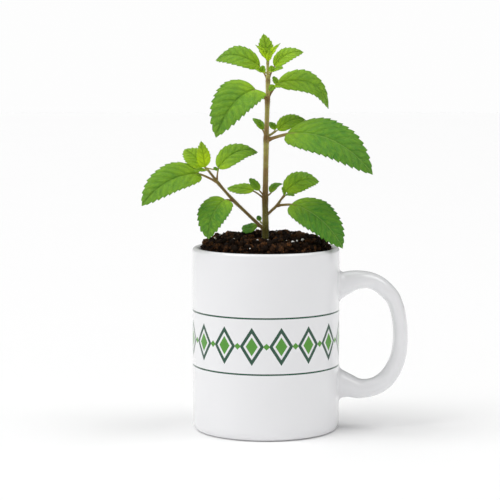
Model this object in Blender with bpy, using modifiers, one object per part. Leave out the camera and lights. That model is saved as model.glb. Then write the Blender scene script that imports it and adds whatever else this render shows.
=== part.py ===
"""Young holy basil plant growing in a white glazed mug. Blender 4.5, metres, +Z up.

The mug stands on z = 0 with its axis on Z and its handle towards +X. The potting soil fills
it to the rim. The main stem stands in a hole in the soil and carries two side branches,
and every leaf is a blade with its own petiole.
"""

import math
import random
from collections import namedtuple

import bmesh
import bpy
from mathutils import Vector

# Points nearer than TINY are one point; a turned profile is welded within TURN_WELD
TINY = 1e-6
TURN_WELD = 1e-5

# Mug: a straight glazed cylinder on a low foot ring, with a looped handle
MUG_RADIUS = 0.0410
MUG_HEIGHT = 0.1020
MUG_WALL = 0.0038
MUG_FLOOR = 0.0060
MUG_SIDES = 48
INSIDE_CORNER = 0.0060
RIM_STEPS = 6
CORNER_STEPS = 3

# The foot, from the straight wall down and in to the flat ring: (radius, height)
FOOT_CURVE = (
    (0.0410, 0.0070),
    (0.0404, 0.0042),
    (0.0393, 0.0015),
    (0.0382, 0.0004),
    (0.0367, 0.0),
)
RING_INSIDE = 0.0305
RECESS_RADIUS = 0.0297
RECESS_DEPTH = 0.0006

# Handle: (distance from the axis, height, half the thickness) along its middle line
HANDLE_ROUTE = (
    (0.0392, 0.0804, 0.0085),
    (0.0440, 0.0816, 0.0071),
    (0.0482, 0.0830, 0.0056),
    (0.0535, 0.0836, 0.0048),
    (0.0585, 0.0830, 0.0045),
    (0.0636, 0.0806, 0.0045),
    (0.0687, 0.0760, 0.0044),
    (0.0716, 0.0718, 0.0042),
    (0.0740, 0.0648, 0.0041),
    (0.0755, 0.0532, 0.0041),
    (0.0745, 0.0420, 0.0043),
    (0.0716, 0.0338, 0.0045),
    (0.0676, 0.0278, 0.0048),
    (0.0626, 0.0241, 0.0048),
    (0.0572, 0.0224, 0.0050),
    (0.0517, 0.0222, 0.0053),
    (0.0458, 0.0238, 0.0069),
    (0.0392, 0.0251, 0.0092),
)
HANDLE_ROOT_X = 0.0392
HANDLE_FREE_X = 0.0540
HANDLE_ROOT_BREADTH = 0.95
HANDLE_FREE_BREADTH = 1.50
HANDLE_STEPS = 2
HANDLE_ROUND = 3

# Soil: heaped a little above the rim, hollowed round the stem, crumbly on top
SOIL_GAP = 0.0003
SOIL_EDGE = 0.1000
SOIL_HEAP = 0.0064
SOIL_HOLLOW = 0.0045
SOIL_HOLLOW_RADIUS = 0.0090
SOIL_HOLLOW_CENTRE = Vector((-0.0005, -0.0080))
SOIL_SIDES = 64
SOIL_RINGS = 15
CRUMB_SEED = 7
CRUMB_COUNT = 260
CRUMB_RADII = (0.0018, 0.0042)
CRUMB_PROUD = 0.44
STEM_HOLE_GAP = 0.0003

# Stems: (x, y, z, radius) from the root end up, swollen where leaves stand
MAIN_STEM = (
    (-0.0005, -0.0030, 0.0820, 0.0018),
    (-0.0005, -0.0030, 0.0980, 0.00195),
    (-0.0004, -0.0030, 0.1060, 0.00190),
    (-0.0003, -0.0030, 0.1150, 0.00190),
    (-0.0005, -0.0030, 0.1240, 0.00175),
    (-0.0005, -0.0030, 0.1289, 0.00190),
    (-0.0004, -0.0030, 0.1335, 0.00162),
    (-0.0002, -0.0030, 0.1460, 0.00155),
    (0.0000, -0.0030, 0.1575, 0.00160),
    (0.0001, -0.0030, 0.1618, 0.00182),
    (0.0002, -0.0030, 0.1660, 0.00145),
    (0.0005, -0.0030, 0.1760, 0.00130),
    (0.0007, -0.0030, 0.1841, 0.00158),
    (0.0008, -0.0030, 0.1875, 0.00118),
    (0.0010, -0.0030, 0.1942, 0.00140),
    (0.0010, -0.0030, 0.1975, 0.00095),
    (0.0008, -0.0030, 0.2030, 0.00080),
)
LEFT_BRANCH = (
    (-0.0005, -0.0032, 0.1116, 0.00105),
    (-0.0035, -0.0034, 0.1142, 0.00105),
    (-0.0080, -0.0041, 0.1185, 0.00095),
    (-0.0130, -0.0050, 0.1234, 0.00090),
    (-0.0178, -0.0060, 0.1281, 0.00105),
    (-0.0225, -0.0075, 0.1334, 0.00082),
    (-0.0267, -0.0090, 0.1385, 0.00100),
    (-0.0290, -0.0097, 0.1416, 0.00074),
    (-0.0318, -0.0105, 0.1452, 0.00070),
)
RIGHT_BRANCH = (
    (-0.0003, -0.0030, 0.1192, 0.00080),
    (0.0020, -0.0034, 0.1215, 0.00080),
    (0.0059, -0.0040, 0.1253, 0.00085),
    (0.0082, -0.0034, 0.1285, 0.00065),
    (0.0098, -0.0030, 0.1302, 0.00060),
)
STEM_GAP = 0.0003
STEM_ROUND = 2

# Leaves. Each blade runs from its heel, where the petiole ends, to its tip, with its upper
# side towards face, its middle raised by lift and bowed sideways by bend. The petiole
# leaves its stem at foot_z.
Leaf = namedtuple("Leaf", "name stem foot_z heel tip face width lift bend teeth")
LEAVES = (
    Leaf("leaf_top_left", "main", 0.1944, (-0.0038, 0.0005, 0.2020), (-0.0276, 0.0080, 0.2050),
         (-0.15, -0.73, 0.66), 0.0130, 0.0070, -0.0005, 8),
    Leaf("leaf_top_right", "main", 0.1944, (0.0047, -0.0045, 0.2023), (0.0203, -0.0030, 0.2094),
         (-0.23, -0.70, 0.67), 0.0100, 0.0030, -0.0005, 7),
    Leaf("leaf_upper_left", "main", 0.1836, (-0.0060, -0.0095, 0.1890), (-0.0271, -0.0310, 0.1640),
         (-0.03, -0.74, 0.67), 0.0222, 0.0065, 0.0015, 10),
    Leaf("leaf_upper_right", "main", 0.1843, (0.0070, 0.0010, 0.1925), (0.0344, 0.0075, 0.1785),
         (0.46, -0.63, 0.62), 0.0160, 0.0087, -0.0018, 9),
    Leaf("leaf_middle_right", "main", 0.1614, (0.0118, -0.0055, 0.1649), (0.0576, -0.0190, 0.1434),
         (0.16, -0.64, 0.75), 0.0290, 0.0090, -0.0008, 12),
    Leaf("leaf_middle_left_small", "main", 0.1628, (-0.0019, 0.0015, 0.1670),
         (-0.0070, 0.0075, 0.1728), (0.29, -0.47, 0.83), 0.0053, 0.0014, -0.0004, 4),
    Leaf("leaf_lower_right_small", "main", 0.1298, (0.0029, 0.0018, 0.1322),
         (0.0092, 0.0068, 0.1362), (-0.23, -0.41, 0.88), 0.0052, 0.0019, -0.0003, 4),
    Leaf("leaf_lower_left_long", "main", 0.1287, (-0.0071, 0.0012, 0.1330),
         (-0.0215, 0.0095, 0.1338), (-0.25, -0.46, 0.85), 0.0090, 0.0006, 0.0, 6),
    Leaf("leaf_lower_left_small", "main", 0.1300, (-0.0040, -0.0062, 0.1341),
         (-0.0095, -0.0070, 0.1402), (0.56, -0.70, 0.44), 0.0055, -0.0002, 0.0004, 4),
    Leaf("leaf_lower_right", "right", 0.1292, (0.0111, 0.0012, 0.1327), (0.0296, 0.0098, 0.1374),
         (0.15, -0.71, 0.69), 0.0124, 0.0036, -0.0015, 8),
    Leaf("leaf_rim_right", "right", 0.1253, (0.0142, -0.0090, 0.1262), (0.0414, -0.0206, 0.1032),
         (0.26, -0.70, 0.66), 0.0223, 0.0054, -0.0007, 11),
    Leaf("leaf_branch_left", "left", 0.1385, (-0.0369, -0.0120, 0.1433), (-0.0675, -0.0237, 0.1266),
         (-0.12, -0.70, 0.71), 0.0199, 0.0052, 0.0014, 10),
    Leaf("leaf_branch_right", "left", 0.1392, (-0.0261, -0.0075, 0.1464), (-0.0048, 0.0027, 0.1542),
         (0.02, -0.63, 0.77), 0.0134, 0.0051, -0.0010, 8),
    Leaf("leaf_branch_low", "left", 0.1281, (-0.0227, -0.0130, 0.1290), (-0.0312, -0.0281, 0.1090),
         (-0.18, -0.75, 0.64), 0.0166, 0.0028, 0.0018, 8),
    Leaf("leaf_base_left", "main", 0.1122, (-0.0050, 0.0020, 0.1132), (-0.0126, 0.0092, 0.1128),
         (-0.53, -0.51, 0.68), 0.0067, 0.0002, -0.0019, 4),
)

# Young leaves that stand in one bunch, fused to the short shoot they grow from. A bunch is
# (name, the shoot's stem, its foot height, its top, its radius, its leaves).
BUNCHES = (
    ("growing_tip", "main", 0.2030, (0.0010, -0.0032, 0.2064), 0.0009, (
        Leaf("back", "main", 0.2036, (0.0006, -0.0020, 0.2072), (-0.0013, 0.0010, 0.2196),
             (0.05, -0.95, 0.2), 0.0078, 0.0008, 0.0, 5),
        Leaf("left", "main", 0.2036, (0.0000, -0.0034, 0.2068), (-0.0056, -0.0046, 0.2136),
             (0.75, -0.45, 0.45), 0.0046, -0.0012, 0.0, 4),
        Leaf("right", "main", 0.2036, (0.0020, -0.0034, 0.2068), (0.0077, -0.0046, 0.2144),
             (-0.75, -0.45, 0.45), 0.0046, -0.0012, 0.0, 4),
        Leaf("front", "main", 0.2036, (0.0012, -0.0046, 0.2070), (0.0016, -0.0082, 0.2124),
             (0.0, 0.72, 0.7), 0.0040, -0.0006, 0.0, 3),
    )),
    ("left_branch_tip", "left", 0.1452, (-0.0332, -0.0109, 0.1466), 0.0008, (
        Leaf("upright", "left", 0.1456, (-0.0337, -0.0114, 0.1474), (-0.0357, -0.0137, 0.1615),
             (0.35, -0.93, 0.1), 0.0073, 0.0011, -0.0004, 6),
        Leaf("back", "left", 0.1456, (-0.0346, -0.0092, 0.1472), (-0.0450, -0.0020, 0.1566),
             (0.3, -0.85, 0.45), 0.0100, 0.0016, 0.0, 6),
        Leaf("side", "left", 0.1456, (-0.0350, -0.0128, 0.1464), (-0.0392, -0.0170, 0.1462),
             (0.0, -0.3, 0.9), 0.0028, 0.0004, 0.0, 3),
    )),
    ("right_branch_tip", "right", 0.1302, (0.0104, -0.0032, 0.1310), 0.0006, (
        Leaf("upright", "right", 0.1305, (0.0103, -0.0036, 0.1316), (0.0085, -0.0066, 0.1356),
             (0.4, -0.8, 0.4), 0.0026, 0.0004, 0.0, 3),
        Leaf("side", "right", 0.1305, (0.0111, -0.0038, 0.1311), (0.0155, -0.0076, 0.1308),
             (0.0, -0.5, 0.85), 0.0028, 0.0006, 0.0, 3),
    )),
    ("top_shoot_right", "main", 0.1986, (0.0030, -0.0066, 0.1990), 0.0005, (
        Leaf("outer", "main", 0.1956, (0.0036, -0.0070, 0.1994), (0.0088, -0.0112, 0.2008),
             (0.0, -0.55, 0.8), 0.0034, 0.0006, 0.0, 3),
        Leaf("inner", "main", 0.1956, (0.0028, -0.0074, 0.1998), (0.0030, -0.0100, 0.2025),
             (0.0, -0.8, 0.5), 0.0024, 0.0003, 0.0, 3),
    )),
    ("top_shoot_left", "main", 0.1984, (-0.0020, -0.0062, 0.1988), 0.0005, (
        Leaf("outer", "main", 0.1956, (-0.0021, -0.0066, 0.1994), (-0.0016, -0.0092, 0.2026),
             (0.0, -0.85, 0.4), 0.0028, 0.0003, 0.0, 3),
        Leaf("inner", "main", 0.1956, (-0.0027, -0.0068, 0.1990), (-0.0060, -0.0096, 0.2004),
             (0.0, -0.7, 0.7), 0.0024, 0.0003, 0.0, 3),
    )),
    ("upper_shoot_right", "main", 0.1866, (0.0038, -0.0058, 0.1908), 0.0006, (
        Leaf("outer", "main", 0.1850, (0.0044, -0.0064, 0.1926), (0.0056, -0.0090, 0.1970),
             (-0.5, -0.6, 0.6), 0.0026, 0.0003, 0.0, 3),
        Leaf("inner", "main", 0.1850, (0.0042, -0.0072, 0.1912), (0.0036, -0.0106, 0.1886),
             (0.3, -0.8, 0.5), 0.0026, 0.0004, 0.0, 3),
    )),
    ("middle_shoot_right", "main", 0.1632, (0.0052, -0.0002, 0.1662), 0.0007, (
        Leaf("long", "main", 0.1634, (0.0068, 0.0006, 0.1670), (0.0216, 0.0062, 0.1722),
             (0.0, -0.68, 0.73), 0.0093, 0.0027, -0.0005, 7),
        Leaf("upright", "main", 0.1634, (0.0050, 0.0006, 0.1672), (0.0020, 0.0036, 0.1708),
             (0.3, -0.85, 0.4), 0.0036, 0.0005, 0.0, 3),
    )),
    ("base_shoot_left", "main", 0.1146, (-0.0032, 0.0006, 0.1158), 0.0005, (
        Leaf("upright", "main", 0.1136, (-0.0034, 0.0010, 0.1164), (-0.0044, 0.0036, 0.1188),
             (0.0, -0.8, 0.6), 0.0024, 0.0002, 0.0, 3),
    )),
)

# Every blade: round at the heel, drawn out at the tip, sunken along the midrib
BLADE_THICKNESS = 0.00065
HEEL_FULLNESS = 0.50
TIP_FULLNESS = 0.88
LEAST_HALF_WIDTH = 0.0004
FOLD = 0.34
CURL = 0.42
TOOTH_DEPTH = 0.045
TOOTH_REACH = 0.45
TOOTH_CREST = 0.62
TOOTH_FADES_BELOW = 0.20
FIRST_TOOTH = 0.06
LAST_TOOTH = 0.94
BROAD_BLADE = 0.0100

# Petioles: thicker at the stem, arched up a little, ending inside the blade at the midrib
PETIOLE_STEPS = 6
PETIOLE_OF_WIDTH = 0.030
PETIOLE_LEAST = 0.00042
PETIOLE_SWELL = 0.12
PETIOLE_REACH = 0.35
PETIOLE_ARCH = 0.05
PETIOLE_SINK = 0.14
PETIOLE_END_RADIUS = 0.00023
BUNCH_SINK = 0.28
BUNCH_ROOT_START = 0.80
BUNCH_ROOT_STEP = 0.04


def clear_scene():
    for obj in list(bpy.data.objects):
        bpy.data.objects.remove(obj)


def finish(name, colour, roughness):
    """A plain Principled material."""
    material = bpy.data.materials.new(name)
    material.use_nodes = True
    shader = material.node_tree.nodes["Principled BSDF"]
    shader.inputs["Base Color"].default_value = (*colour, 1.0)
    shader.inputs["Roughness"].default_value = roughness
    shader.inputs["Metallic"].default_value = 0.0
    return material


def outer_skin(mesh):
    """Removes the closed pockets and loose crumbs that a union leaves, keeping the main skin."""
    bm = bmesh.new()
    bm.from_mesh(mesh)
    left = set(bm.verts)
    parts = []
    while left:
        stack = [left.pop()]
        part = set(stack)
        while stack:
            for edge in stack.pop().link_edges:
                for vertex in edge.verts:
                    if vertex not in part:
                        part.add(vertex)
                        stack.append(vertex)
        left -= part
        parts.append(part)
    parts.sort(key=len)
    for part in parts[:-1]:
        bmesh.ops.delete(bm, geom=list(part), context="VERTS")
    bm.to_mesh(mesh)
    bm.free()


def collection(name):
    made = bpy.data.collections.new(name)
    bpy.context.scene.collection.children.link(made)
    return made


def add_object(name, data, home, material=None):
    obj = bpy.data.objects.new(name, data)
    home.objects.link(obj)
    if material is not None:
        obj.data.materials.clear()
        obj.data.materials.append(material)
    return obj


def hide_helper(obj):
    obj.hide_render = True
    obj.display_type = "WIRE"


def baked(obj):
    """The mesh an object's modifiers or curve settings make."""
    bpy.context.view_layer.update()
    graph = bpy.context.evaluated_depsgraph_get()
    return bpy.data.meshes.new_from_object(obj.evaluated_get(graph))


def weld(mesh):
    """Joins the points that a curve's caps leave loose."""
    bm = bmesh.new()
    bm.from_mesh(mesh)
    bmesh.ops.remove_doubles(bm, verts=bm.verts, dist=TINY)
    bm.to_mesh(mesh)
    bm.free()


def boolean(obj, other, operation, solver="EXACT"):
    """Joins other to obj, or cuts it away. other is an object or a collection."""
    modifier = obj.modifiers.new(operation.title(), "BOOLEAN")
    modifier.operation = operation
    modifier.solver = solver
    if isinstance(other, bpy.types.Collection):
        modifier.operand_type = "COLLECTION"
        modifier.collection = other
    else:
        modifier.object = other


def fused(name, pieces, home, material, solver="EXACT"):
    """One solid of several closed meshes that overlap. EXACT leaves nothing of a thin blade."""
    guests = collection(name + "_pieces")
    first = pieces[0]
    for piece in pieces[1:]:
        for old in piece.users_collection:
            old.objects.unlink(piece)
        guests.objects.link(piece)
    boolean(first, guests, "UNION", solver)
    mesh = baked(first)
    outer_skin(mesh)
    for piece in pieces:
        bpy.data.objects.remove(piece)
    bpy.data.collections.remove(guests)
    return add_object(name, mesh, home, material)


def turned(name, profile, sides, home, material=None):
    """A profile of (radius, height) points, turned once round Z."""
    mesh = bpy.data.meshes.new(name)
    points = [(radius, 0.0, height) for radius, height in profile]
    edges = [(i, i + 1) for i in range(len(points) - 1)]
    mesh.from_pydata(points, edges, [])
    obj = add_object(name, mesh, home, material)
    screw = obj.modifiers.new("Turn", "SCREW")
    screw.axis = "Z"
    screw.angle = math.tau
    screw.steps = screw.render_steps = sides
    screw.use_merge_vertices = True
    screw.merge_threshold = TURN_WELD
    return obj


def smooth_route(points, per_span):
    """A Catmull-Rom curve through the points, which may carry a radius as a last value."""
    rows = [points[0], *points, points[-1]]
    made = []
    for i in range(1, len(rows) - 2):
        for step in range(per_span):
            s = step / per_span
            made.append(
                tuple(
                    0.5
                    * (
                        2 * b
                        + (c - a) * s
                        + (2 * a - 5 * b + 4 * c - d) * s * s
                        + (3 * b - a - 3 * c + d) * s**3
                    )
                    for a, b, c, d in zip(*rows[i - 1 : i + 3])
                )
            )
    made.append(tuple(points[-1]))
    return made


def tube(name, rows, home, roundness, extra=0.0):
    """A closed tube along (x, y, z, radius) rows, as a mesh."""
    curve = bpy.data.curves.new(name, "CURVE")
    curve.dimensions = "3D"
    curve.bevel_depth = 1.0
    curve.bevel_resolution = roundness
    curve.use_fill_caps = True
    curve.twist_mode = "MINIMUM"
    spline = curve.splines.new("POLY")
    spline.points.add(len(rows) - 1)
    for point, (x, y, z, radius) in zip(spline.points, rows):
        point.co = (x, y, z, 1.0)
        point.radius = radius + extra
    drawn = add_object(name + "_line", curve, home)
    mesh = baked(drawn)
    weld(mesh)
    mesh.materials.clear()
    bpy.data.objects.remove(drawn)
    return add_object(name, mesh, home)


# Mug


def arc(centre, radius, start, end, steps):
    """Points of a round corner, by its angles in degrees."""
    turns = [math.radians(start + (end - start) * i / steps) for i in range(steps + 1)]
    return [(centre[0] + radius * math.cos(a), centre[1] + radius * math.sin(a)) for a in turns]


def mug_profile():
    inner = MUG_RADIUS - MUG_WALL
    lip = MUG_WALL / 2
    corner = (inner - INSIDE_CORNER, MUG_FLOOR + INSIDE_CORNER)
    return (
        [(0.0, MUG_FLOOR)]
        + arc(corner, INSIDE_CORNER, -90, 0, CORNER_STEPS)
        + arc((MUG_RADIUS - lip, MUG_HEIGHT - lip), lip, 180, 0, RIM_STEPS)
        + list(FOOT_CURVE)
        + [(RING_INSIDE, 0.0), (RECESS_RADIUS, RECESS_DEPTH), (0.0, RECESS_DEPTH)]
    )


def make_handle(home):
    rows = smooth_route([(x, 0.0, z, half) for x, z, half in HANDLE_ROUTE], HANDLE_STEPS)
    handle = tube("handle", rows, home, HANDLE_ROUND)
    for vertex in handle.data.vertices:
        share = (vertex.co.x - HANDLE_ROOT_X) / (HANDLE_FREE_X - HANDLE_ROOT_X)
        share = min(1.0, max(0.0, share))
        vertex.co.y *= HANDLE_ROOT_BREADTH + (HANDLE_FREE_BREADTH - HANDLE_ROOT_BREADTH) * share
    return handle


def make_mug(home, helpers, glaze):
    body = turned("mug_body", mug_profile(), MUG_SIDES, helpers)
    shell = add_object("mug_shell", baked(body), helpers)
    bpy.data.objects.remove(body)
    return fused("mug", [shell, make_handle(helpers)], home, glaze)


# Soil


def heap_height(x, y):
    """The soil's smooth surface: a low heap with a hollow round and before the stem."""
    reach = MUG_RADIUS - MUG_WALL
    share = min(1.0, math.hypot(x, y) / reach)
    hollow = (Vector((x, y)) - SOIL_HOLLOW_CENTRE).length / SOIL_HOLLOW_RADIUS
    return SOIL_EDGE + SOIL_HEAP * (1 - share**5) - SOIL_HOLLOW * math.exp(-hollow * hollow)


def crumbs():
    """Seeded places and radii of the crumbs that stand out of the heap."""
    draw = random.Random(CRUMB_SEED)
    reach = MUG_RADIUS - MUG_WALL - SOIL_GAP
    found = []
    for _ in range(CRUMB_COUNT):
        radius = draw.uniform(*CRUMB_RADII)
        away = (reach - radius) * math.sqrt(draw.random())
        turn = draw.uniform(0.0, math.tau)
        found.append((away * math.cos(turn), away * math.sin(turn), radius))
    return found


def crumbly_height(x, y, stones):
    """The heap with every crumb's cap raised from it."""
    base = heap_height(x, y)
    top = base
    for cx, cy, radius in stones:
        away = math.hypot(x - cx, y - cy)
        if away < radius:
            cap = math.sqrt(radius * radius - away * away) - radius * (1 - CRUMB_PROUD)
            top = max(top, base + cap)
    return top


def soil_profile():
    reach = MUG_RADIUS - MUG_WALL - SOIL_GAP
    floor = MUG_FLOOR + SOIL_GAP
    corner = (reach - INSIDE_CORNER, floor + INSIDE_CORNER)
    top = [(reach * i / SOIL_RINGS, SOIL_EDGE) for i in range(SOIL_RINGS + 1)]
    foot = arc(corner, INSIDE_CORNER, 0, -90, CORNER_STEPS)
    return top + foot + [(0.0, floor)]


def make_soil(home, helpers, earth):
    lump = turned("soil_lump", soil_profile(), SOIL_SIDES, helpers)
    mesh = baked(lump)
    bpy.data.objects.remove(lump)
    stones = crumbs()
    reach = MUG_RADIUS - MUG_WALL - SOIL_GAP
    for vertex in mesh.vertices:
        x, y, z = vertex.co
        if z > SOIL_EDGE - TINY and math.hypot(x, y) < reach - TINY:
            vertex.co.z = crumbly_height(x, y, stones)
    soil = add_object("soil", mesh, home, earth)
    bottom, above = MAIN_STEM[0], MAIN_STEM[1]
    rows = [
        (bottom[0], bottom[1], bottom[2] - STEM_HOLE_GAP, above[3]),
        (bottom[0], bottom[1], SOIL_EDGE + SOIL_HEAP * 2, above[3]),
    ]
    hole = tube("stem_hole", rows, helpers, STEM_ROUND, STEM_HOLE_GAP)
    hide_helper(hole)
    boolean(soil, hole, "DIFFERENCE")
    return soil


# Stems and leaves

STEMS = {"main": MAIN_STEM, "left": LEFT_BRANCH, "right": RIGHT_BRANCH}


def stem_axis(stem, height):
    """The point on a stem's middle line at this height; above its end, straight on."""
    rows = STEMS[stem]
    for low, high in zip(rows, rows[1:]):
        if height <= high[2] or high is rows[-1]:
            share = (height - low[2]) / (high[2] - low[2])
            return Vector(low[:3]).lerp(Vector(high[:3]), share)
    return Vector(rows[-1][:3])


def blade_frame(leaf):
    """(heel, chord, upward normal) of a blade."""
    heel, tip = Vector(leaf.heel), Vector(leaf.tip)
    chord = tip - heel
    along = chord.normalized()
    face = Vector(leaf.face)
    normal = (face - along * face.dot(along)).normalized()
    return heel, chord, normal


def midrib(leaf, t):
    """(point, direction, normal) of the midrib at t, from 0 at the heel to 1 at the tip."""
    heel, chord, up = blade_frame(leaf)
    bow = up * leaf.lift + chord.normalized().cross(up) * leaf.bend
    point = heel + chord * t + bow * 4 * t * (1 - t)
    along = (chord + bow * 4 * (1 - 2 * t)).normalized()
    normal = (up - along * up.dot(along)).normalized()
    return point, along, normal


def half_width(leaf, t):
    a, b = HEEL_FULLNESS, TIP_FULLNESS
    t = min(1.0, max(0.0, t))
    peak = (a / (a + b)) ** a * (b / (a + b)) ** b
    return max(LEAST_HALF_WIDTH, leaf.width / 2 * t**a * (1 - t) ** b / peak)


def blade_point(leaf, t, u, tooth):
    """A point of the blade: t along it, u across it from -1 to 1, tooth 1 on a tooth's crest."""
    half = half_width(leaf, t)
    cut = tooth * leaf.width * TOOTH_DEPTH
    cut *= min(1.0, half / (leaf.width * TOOTH_FADES_BELOW))
    point, along, normal = midrib(leaf, t)
    side = along.cross(normal)
    out = half * abs(u)
    rise = half * (FOLD * abs(u) - CURL * u * u)
    if abs(u) == 1.0:
        out += cut
        point = point + along * cut * TOOTH_REACH
    return point + side * math.copysign(out, u) + normal * rise


def blade_stations(leaf):
    """(t, tooth) of each row of the blade: a notch and a crest for every tooth."""
    pitch = (LAST_TOOTH - FIRST_TOOTH) / leaf.teeth
    rows = [(0.0, 0.0), (FIRST_TOOTH / 3, 0.0)]
    for k in range(leaf.teeth):
        start = FIRST_TOOTH + pitch * k
        rows += [(start, 0.0), (start + pitch * TOOTH_CREST, 1.0)]
    return rows + [(LAST_TOOTH, 0.0), (1.0, 0.0)]


def make_blade(leaf, home):
    """A grid laid along the midrib and cut into teeth, thickened square to the midrib.

    Both faces are the same triangles, moved apart row by row, so they never cross.
    """
    rows = blade_stations(leaf)
    across = 4 if leaf.width >= BROAD_BLADE else 2
    bm = bmesh.new()
    raise_by = bm.verts.layers.float_vector.new("raise_by")
    bmesh.ops.create_grid(bm, x_segments=len(rows) - 1, y_segments=across, size=1.0)
    for vertex in bm.verts:
        t, tooth = rows[round((vertex.co.x + 1) / 2 * (len(rows) - 1))]
        vertex.co = blade_point(leaf, t, round(vertex.co.y, 3), tooth)
        vertex[raise_by] = midrib(leaf, t)[2] * BLADE_THICKNESS
    bmesh.ops.triangulate(bm, faces=bm.faces, quad_method="FIXED")
    raised = bmesh.ops.extrude_face_region(bm, geom=bm.faces[:], use_keep_orig=True)
    for vertex in raised["geom"]:
        if isinstance(vertex, bmesh.types.BMVert):
            vertex.co += vertex[raise_by]
    bmesh.ops.triangulate(bm, faces=bm.faces, quad_method="FIXED")
    bmesh.ops.recalc_face_normals(bm, faces=bm.faces)
    mesh = bpy.data.meshes.new(leaf.name)
    bm.to_mesh(mesh)
    bm.free()
    return add_object(leaf.name + "_blade", mesh, home)


def make_petiole(leaf, home):
    """The leaf's stalk, from the middle of its stem to a little way along the midrib."""
    foot = stem_axis(leaf.stem, leaf.foot_z)
    heel, along, _ = midrib(leaf, 0.0)
    span = (heel - foot).length
    radius = max(PETIOLE_LEAST, leaf.width * PETIOLE_OF_WIDTH)
    lead = foot.lerp(heel, PETIOLE_REACH) + Vector((0.0, 0.0, span * PETIOLE_ARCH))
    trail = heel - along * span * PETIOLE_REACH
    rows = []
    for i in range(PETIOLE_STEPS + 1):
        s = i / PETIOLE_STEPS
        r = 1 - s
        point = foot * r**3 + lead * 3 * r * r * s + trail * 3 * r * s * s + heel * s**3
        rows.append((*point, radius * (1 + PETIOLE_SWELL * r)))
    sunk, _, _ = midrib(leaf, PETIOLE_SINK)
    rows.append((*sunk, PETIOLE_END_RADIUS))
    return tube(leaf.name + "_petiole", rows, home, 1)


def seat_against(obj, cutters):
    """Cuts a leaf or branch back to just clear of the stems it grows from."""
    for cutter in cutters:
        boolean(obj, cutter, "DIFFERENCE", "MANIFOLD")
    mesh = baked(obj)
    outer_skin(mesh)
    obj.modifiers.clear()
    obj.data = mesh
    return obj


def make_leaf(leaf, home, helpers, material, cutters):
    pieces = [make_blade(leaf, helpers), make_petiole(leaf, helpers)]
    made = fused(leaf.name, pieces, home, material, "MANIFOLD")
    return seat_against(made, [cutters[leaf.stem]])


def make_bunch(bunch, home, helpers, material, cutters):
    """Young leaves fused to the short shoot that carries them."""
    name, stem, foot_z, top, radius, leaves = bunch
    foot, head = stem_axis(stem, foot_z), Vector(top)
    rows = [(*foot, radius), (*foot.lerp(head, 0.5), radius), (*head, radius)]
    pieces = [tube(name + "_shoot", rows, helpers, STEM_ROUND)]
    for i, leaf in enumerate(leaves):
        heel, _, _ = midrib(leaf, 0.0)
        sunk, _, _ = midrib(leaf, BUNCH_SINK)
        root = foot.lerp(head, BUNCH_ROOT_START + BUNCH_ROOT_STEP * i)
        rows = [(*root, PETIOLE_LEAST), (*heel, PETIOLE_LEAST), (*sunk, PETIOLE_END_RADIUS)]
        pieces += [make_blade(leaf, helpers), tube(name + leaf.name, rows, helpers, 1)]
    made = fused(name, pieces, home, material, "MANIFOLD")
    return seat_against(made, cutters.values())


def main():
    clear_scene()
    home = collection("holy_basil_in_mug")
    helpers = collection("cutters")
    glaze = finish("white_glaze", (0.86, 0.86, 0.87), 0.12)
    earth = finish("potting_soil", (0.030, 0.016, 0.009), 0.95)
    bark = finish("stem_skin", (0.26, 0.20, 0.10), 0.55)
    green = finish("leaf_green", (0.10, 0.27, 0.035), 0.50)
    young = finish("young_leaf_green", (0.26, 0.45, 0.04), 0.50)

    make_mug(home, helpers, glaze)
    make_soil(home, helpers, earth)

    cutters = {}
    for key, rows in STEMS.items():
        before, end = Vector(rows[-2][:3]), Vector(rows[-1][:3])
        beyond = end + (end - before).normalized() * STEM_GAP
        longer = [*rows, (*beyond, rows[-1][3])]
        cutters[key] = tube(key + "_clearance", longer, helpers, STEM_ROUND, STEM_GAP)
        hide_helper(cutters[key])
    stem = tube("main_stem", MAIN_STEM, home, STEM_ROUND)
    stem.data.materials.append(bark)
    for name, rows in (("left_branch", LEFT_BRANCH), ("right_branch", RIGHT_BRANCH)):
        branch = tube(name, rows, home, STEM_ROUND)
        branch.data.materials.append(bark)
        seat_against(branch, [cutters["main"]])

    for leaf in LEAVES:
        material = young if leaf.width < BROAD_BLADE else green
        make_leaf(leaf, home, helpers, material, cutters)

    for bunch in BUNCHES:
        make_bunch(bunch, home, helpers, young, cutters)


if __name__ == "__main__":
    main()
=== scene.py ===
"""Looks of a young holy basil plant growing in a white glazed mug.

Run as a script. It loads the packed model as its frame, builds a finished piece over every
solid, and sets a pale floor, soft light and a camera. Metres, +Z up.
"""

import math
from collections import namedtuple

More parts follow.
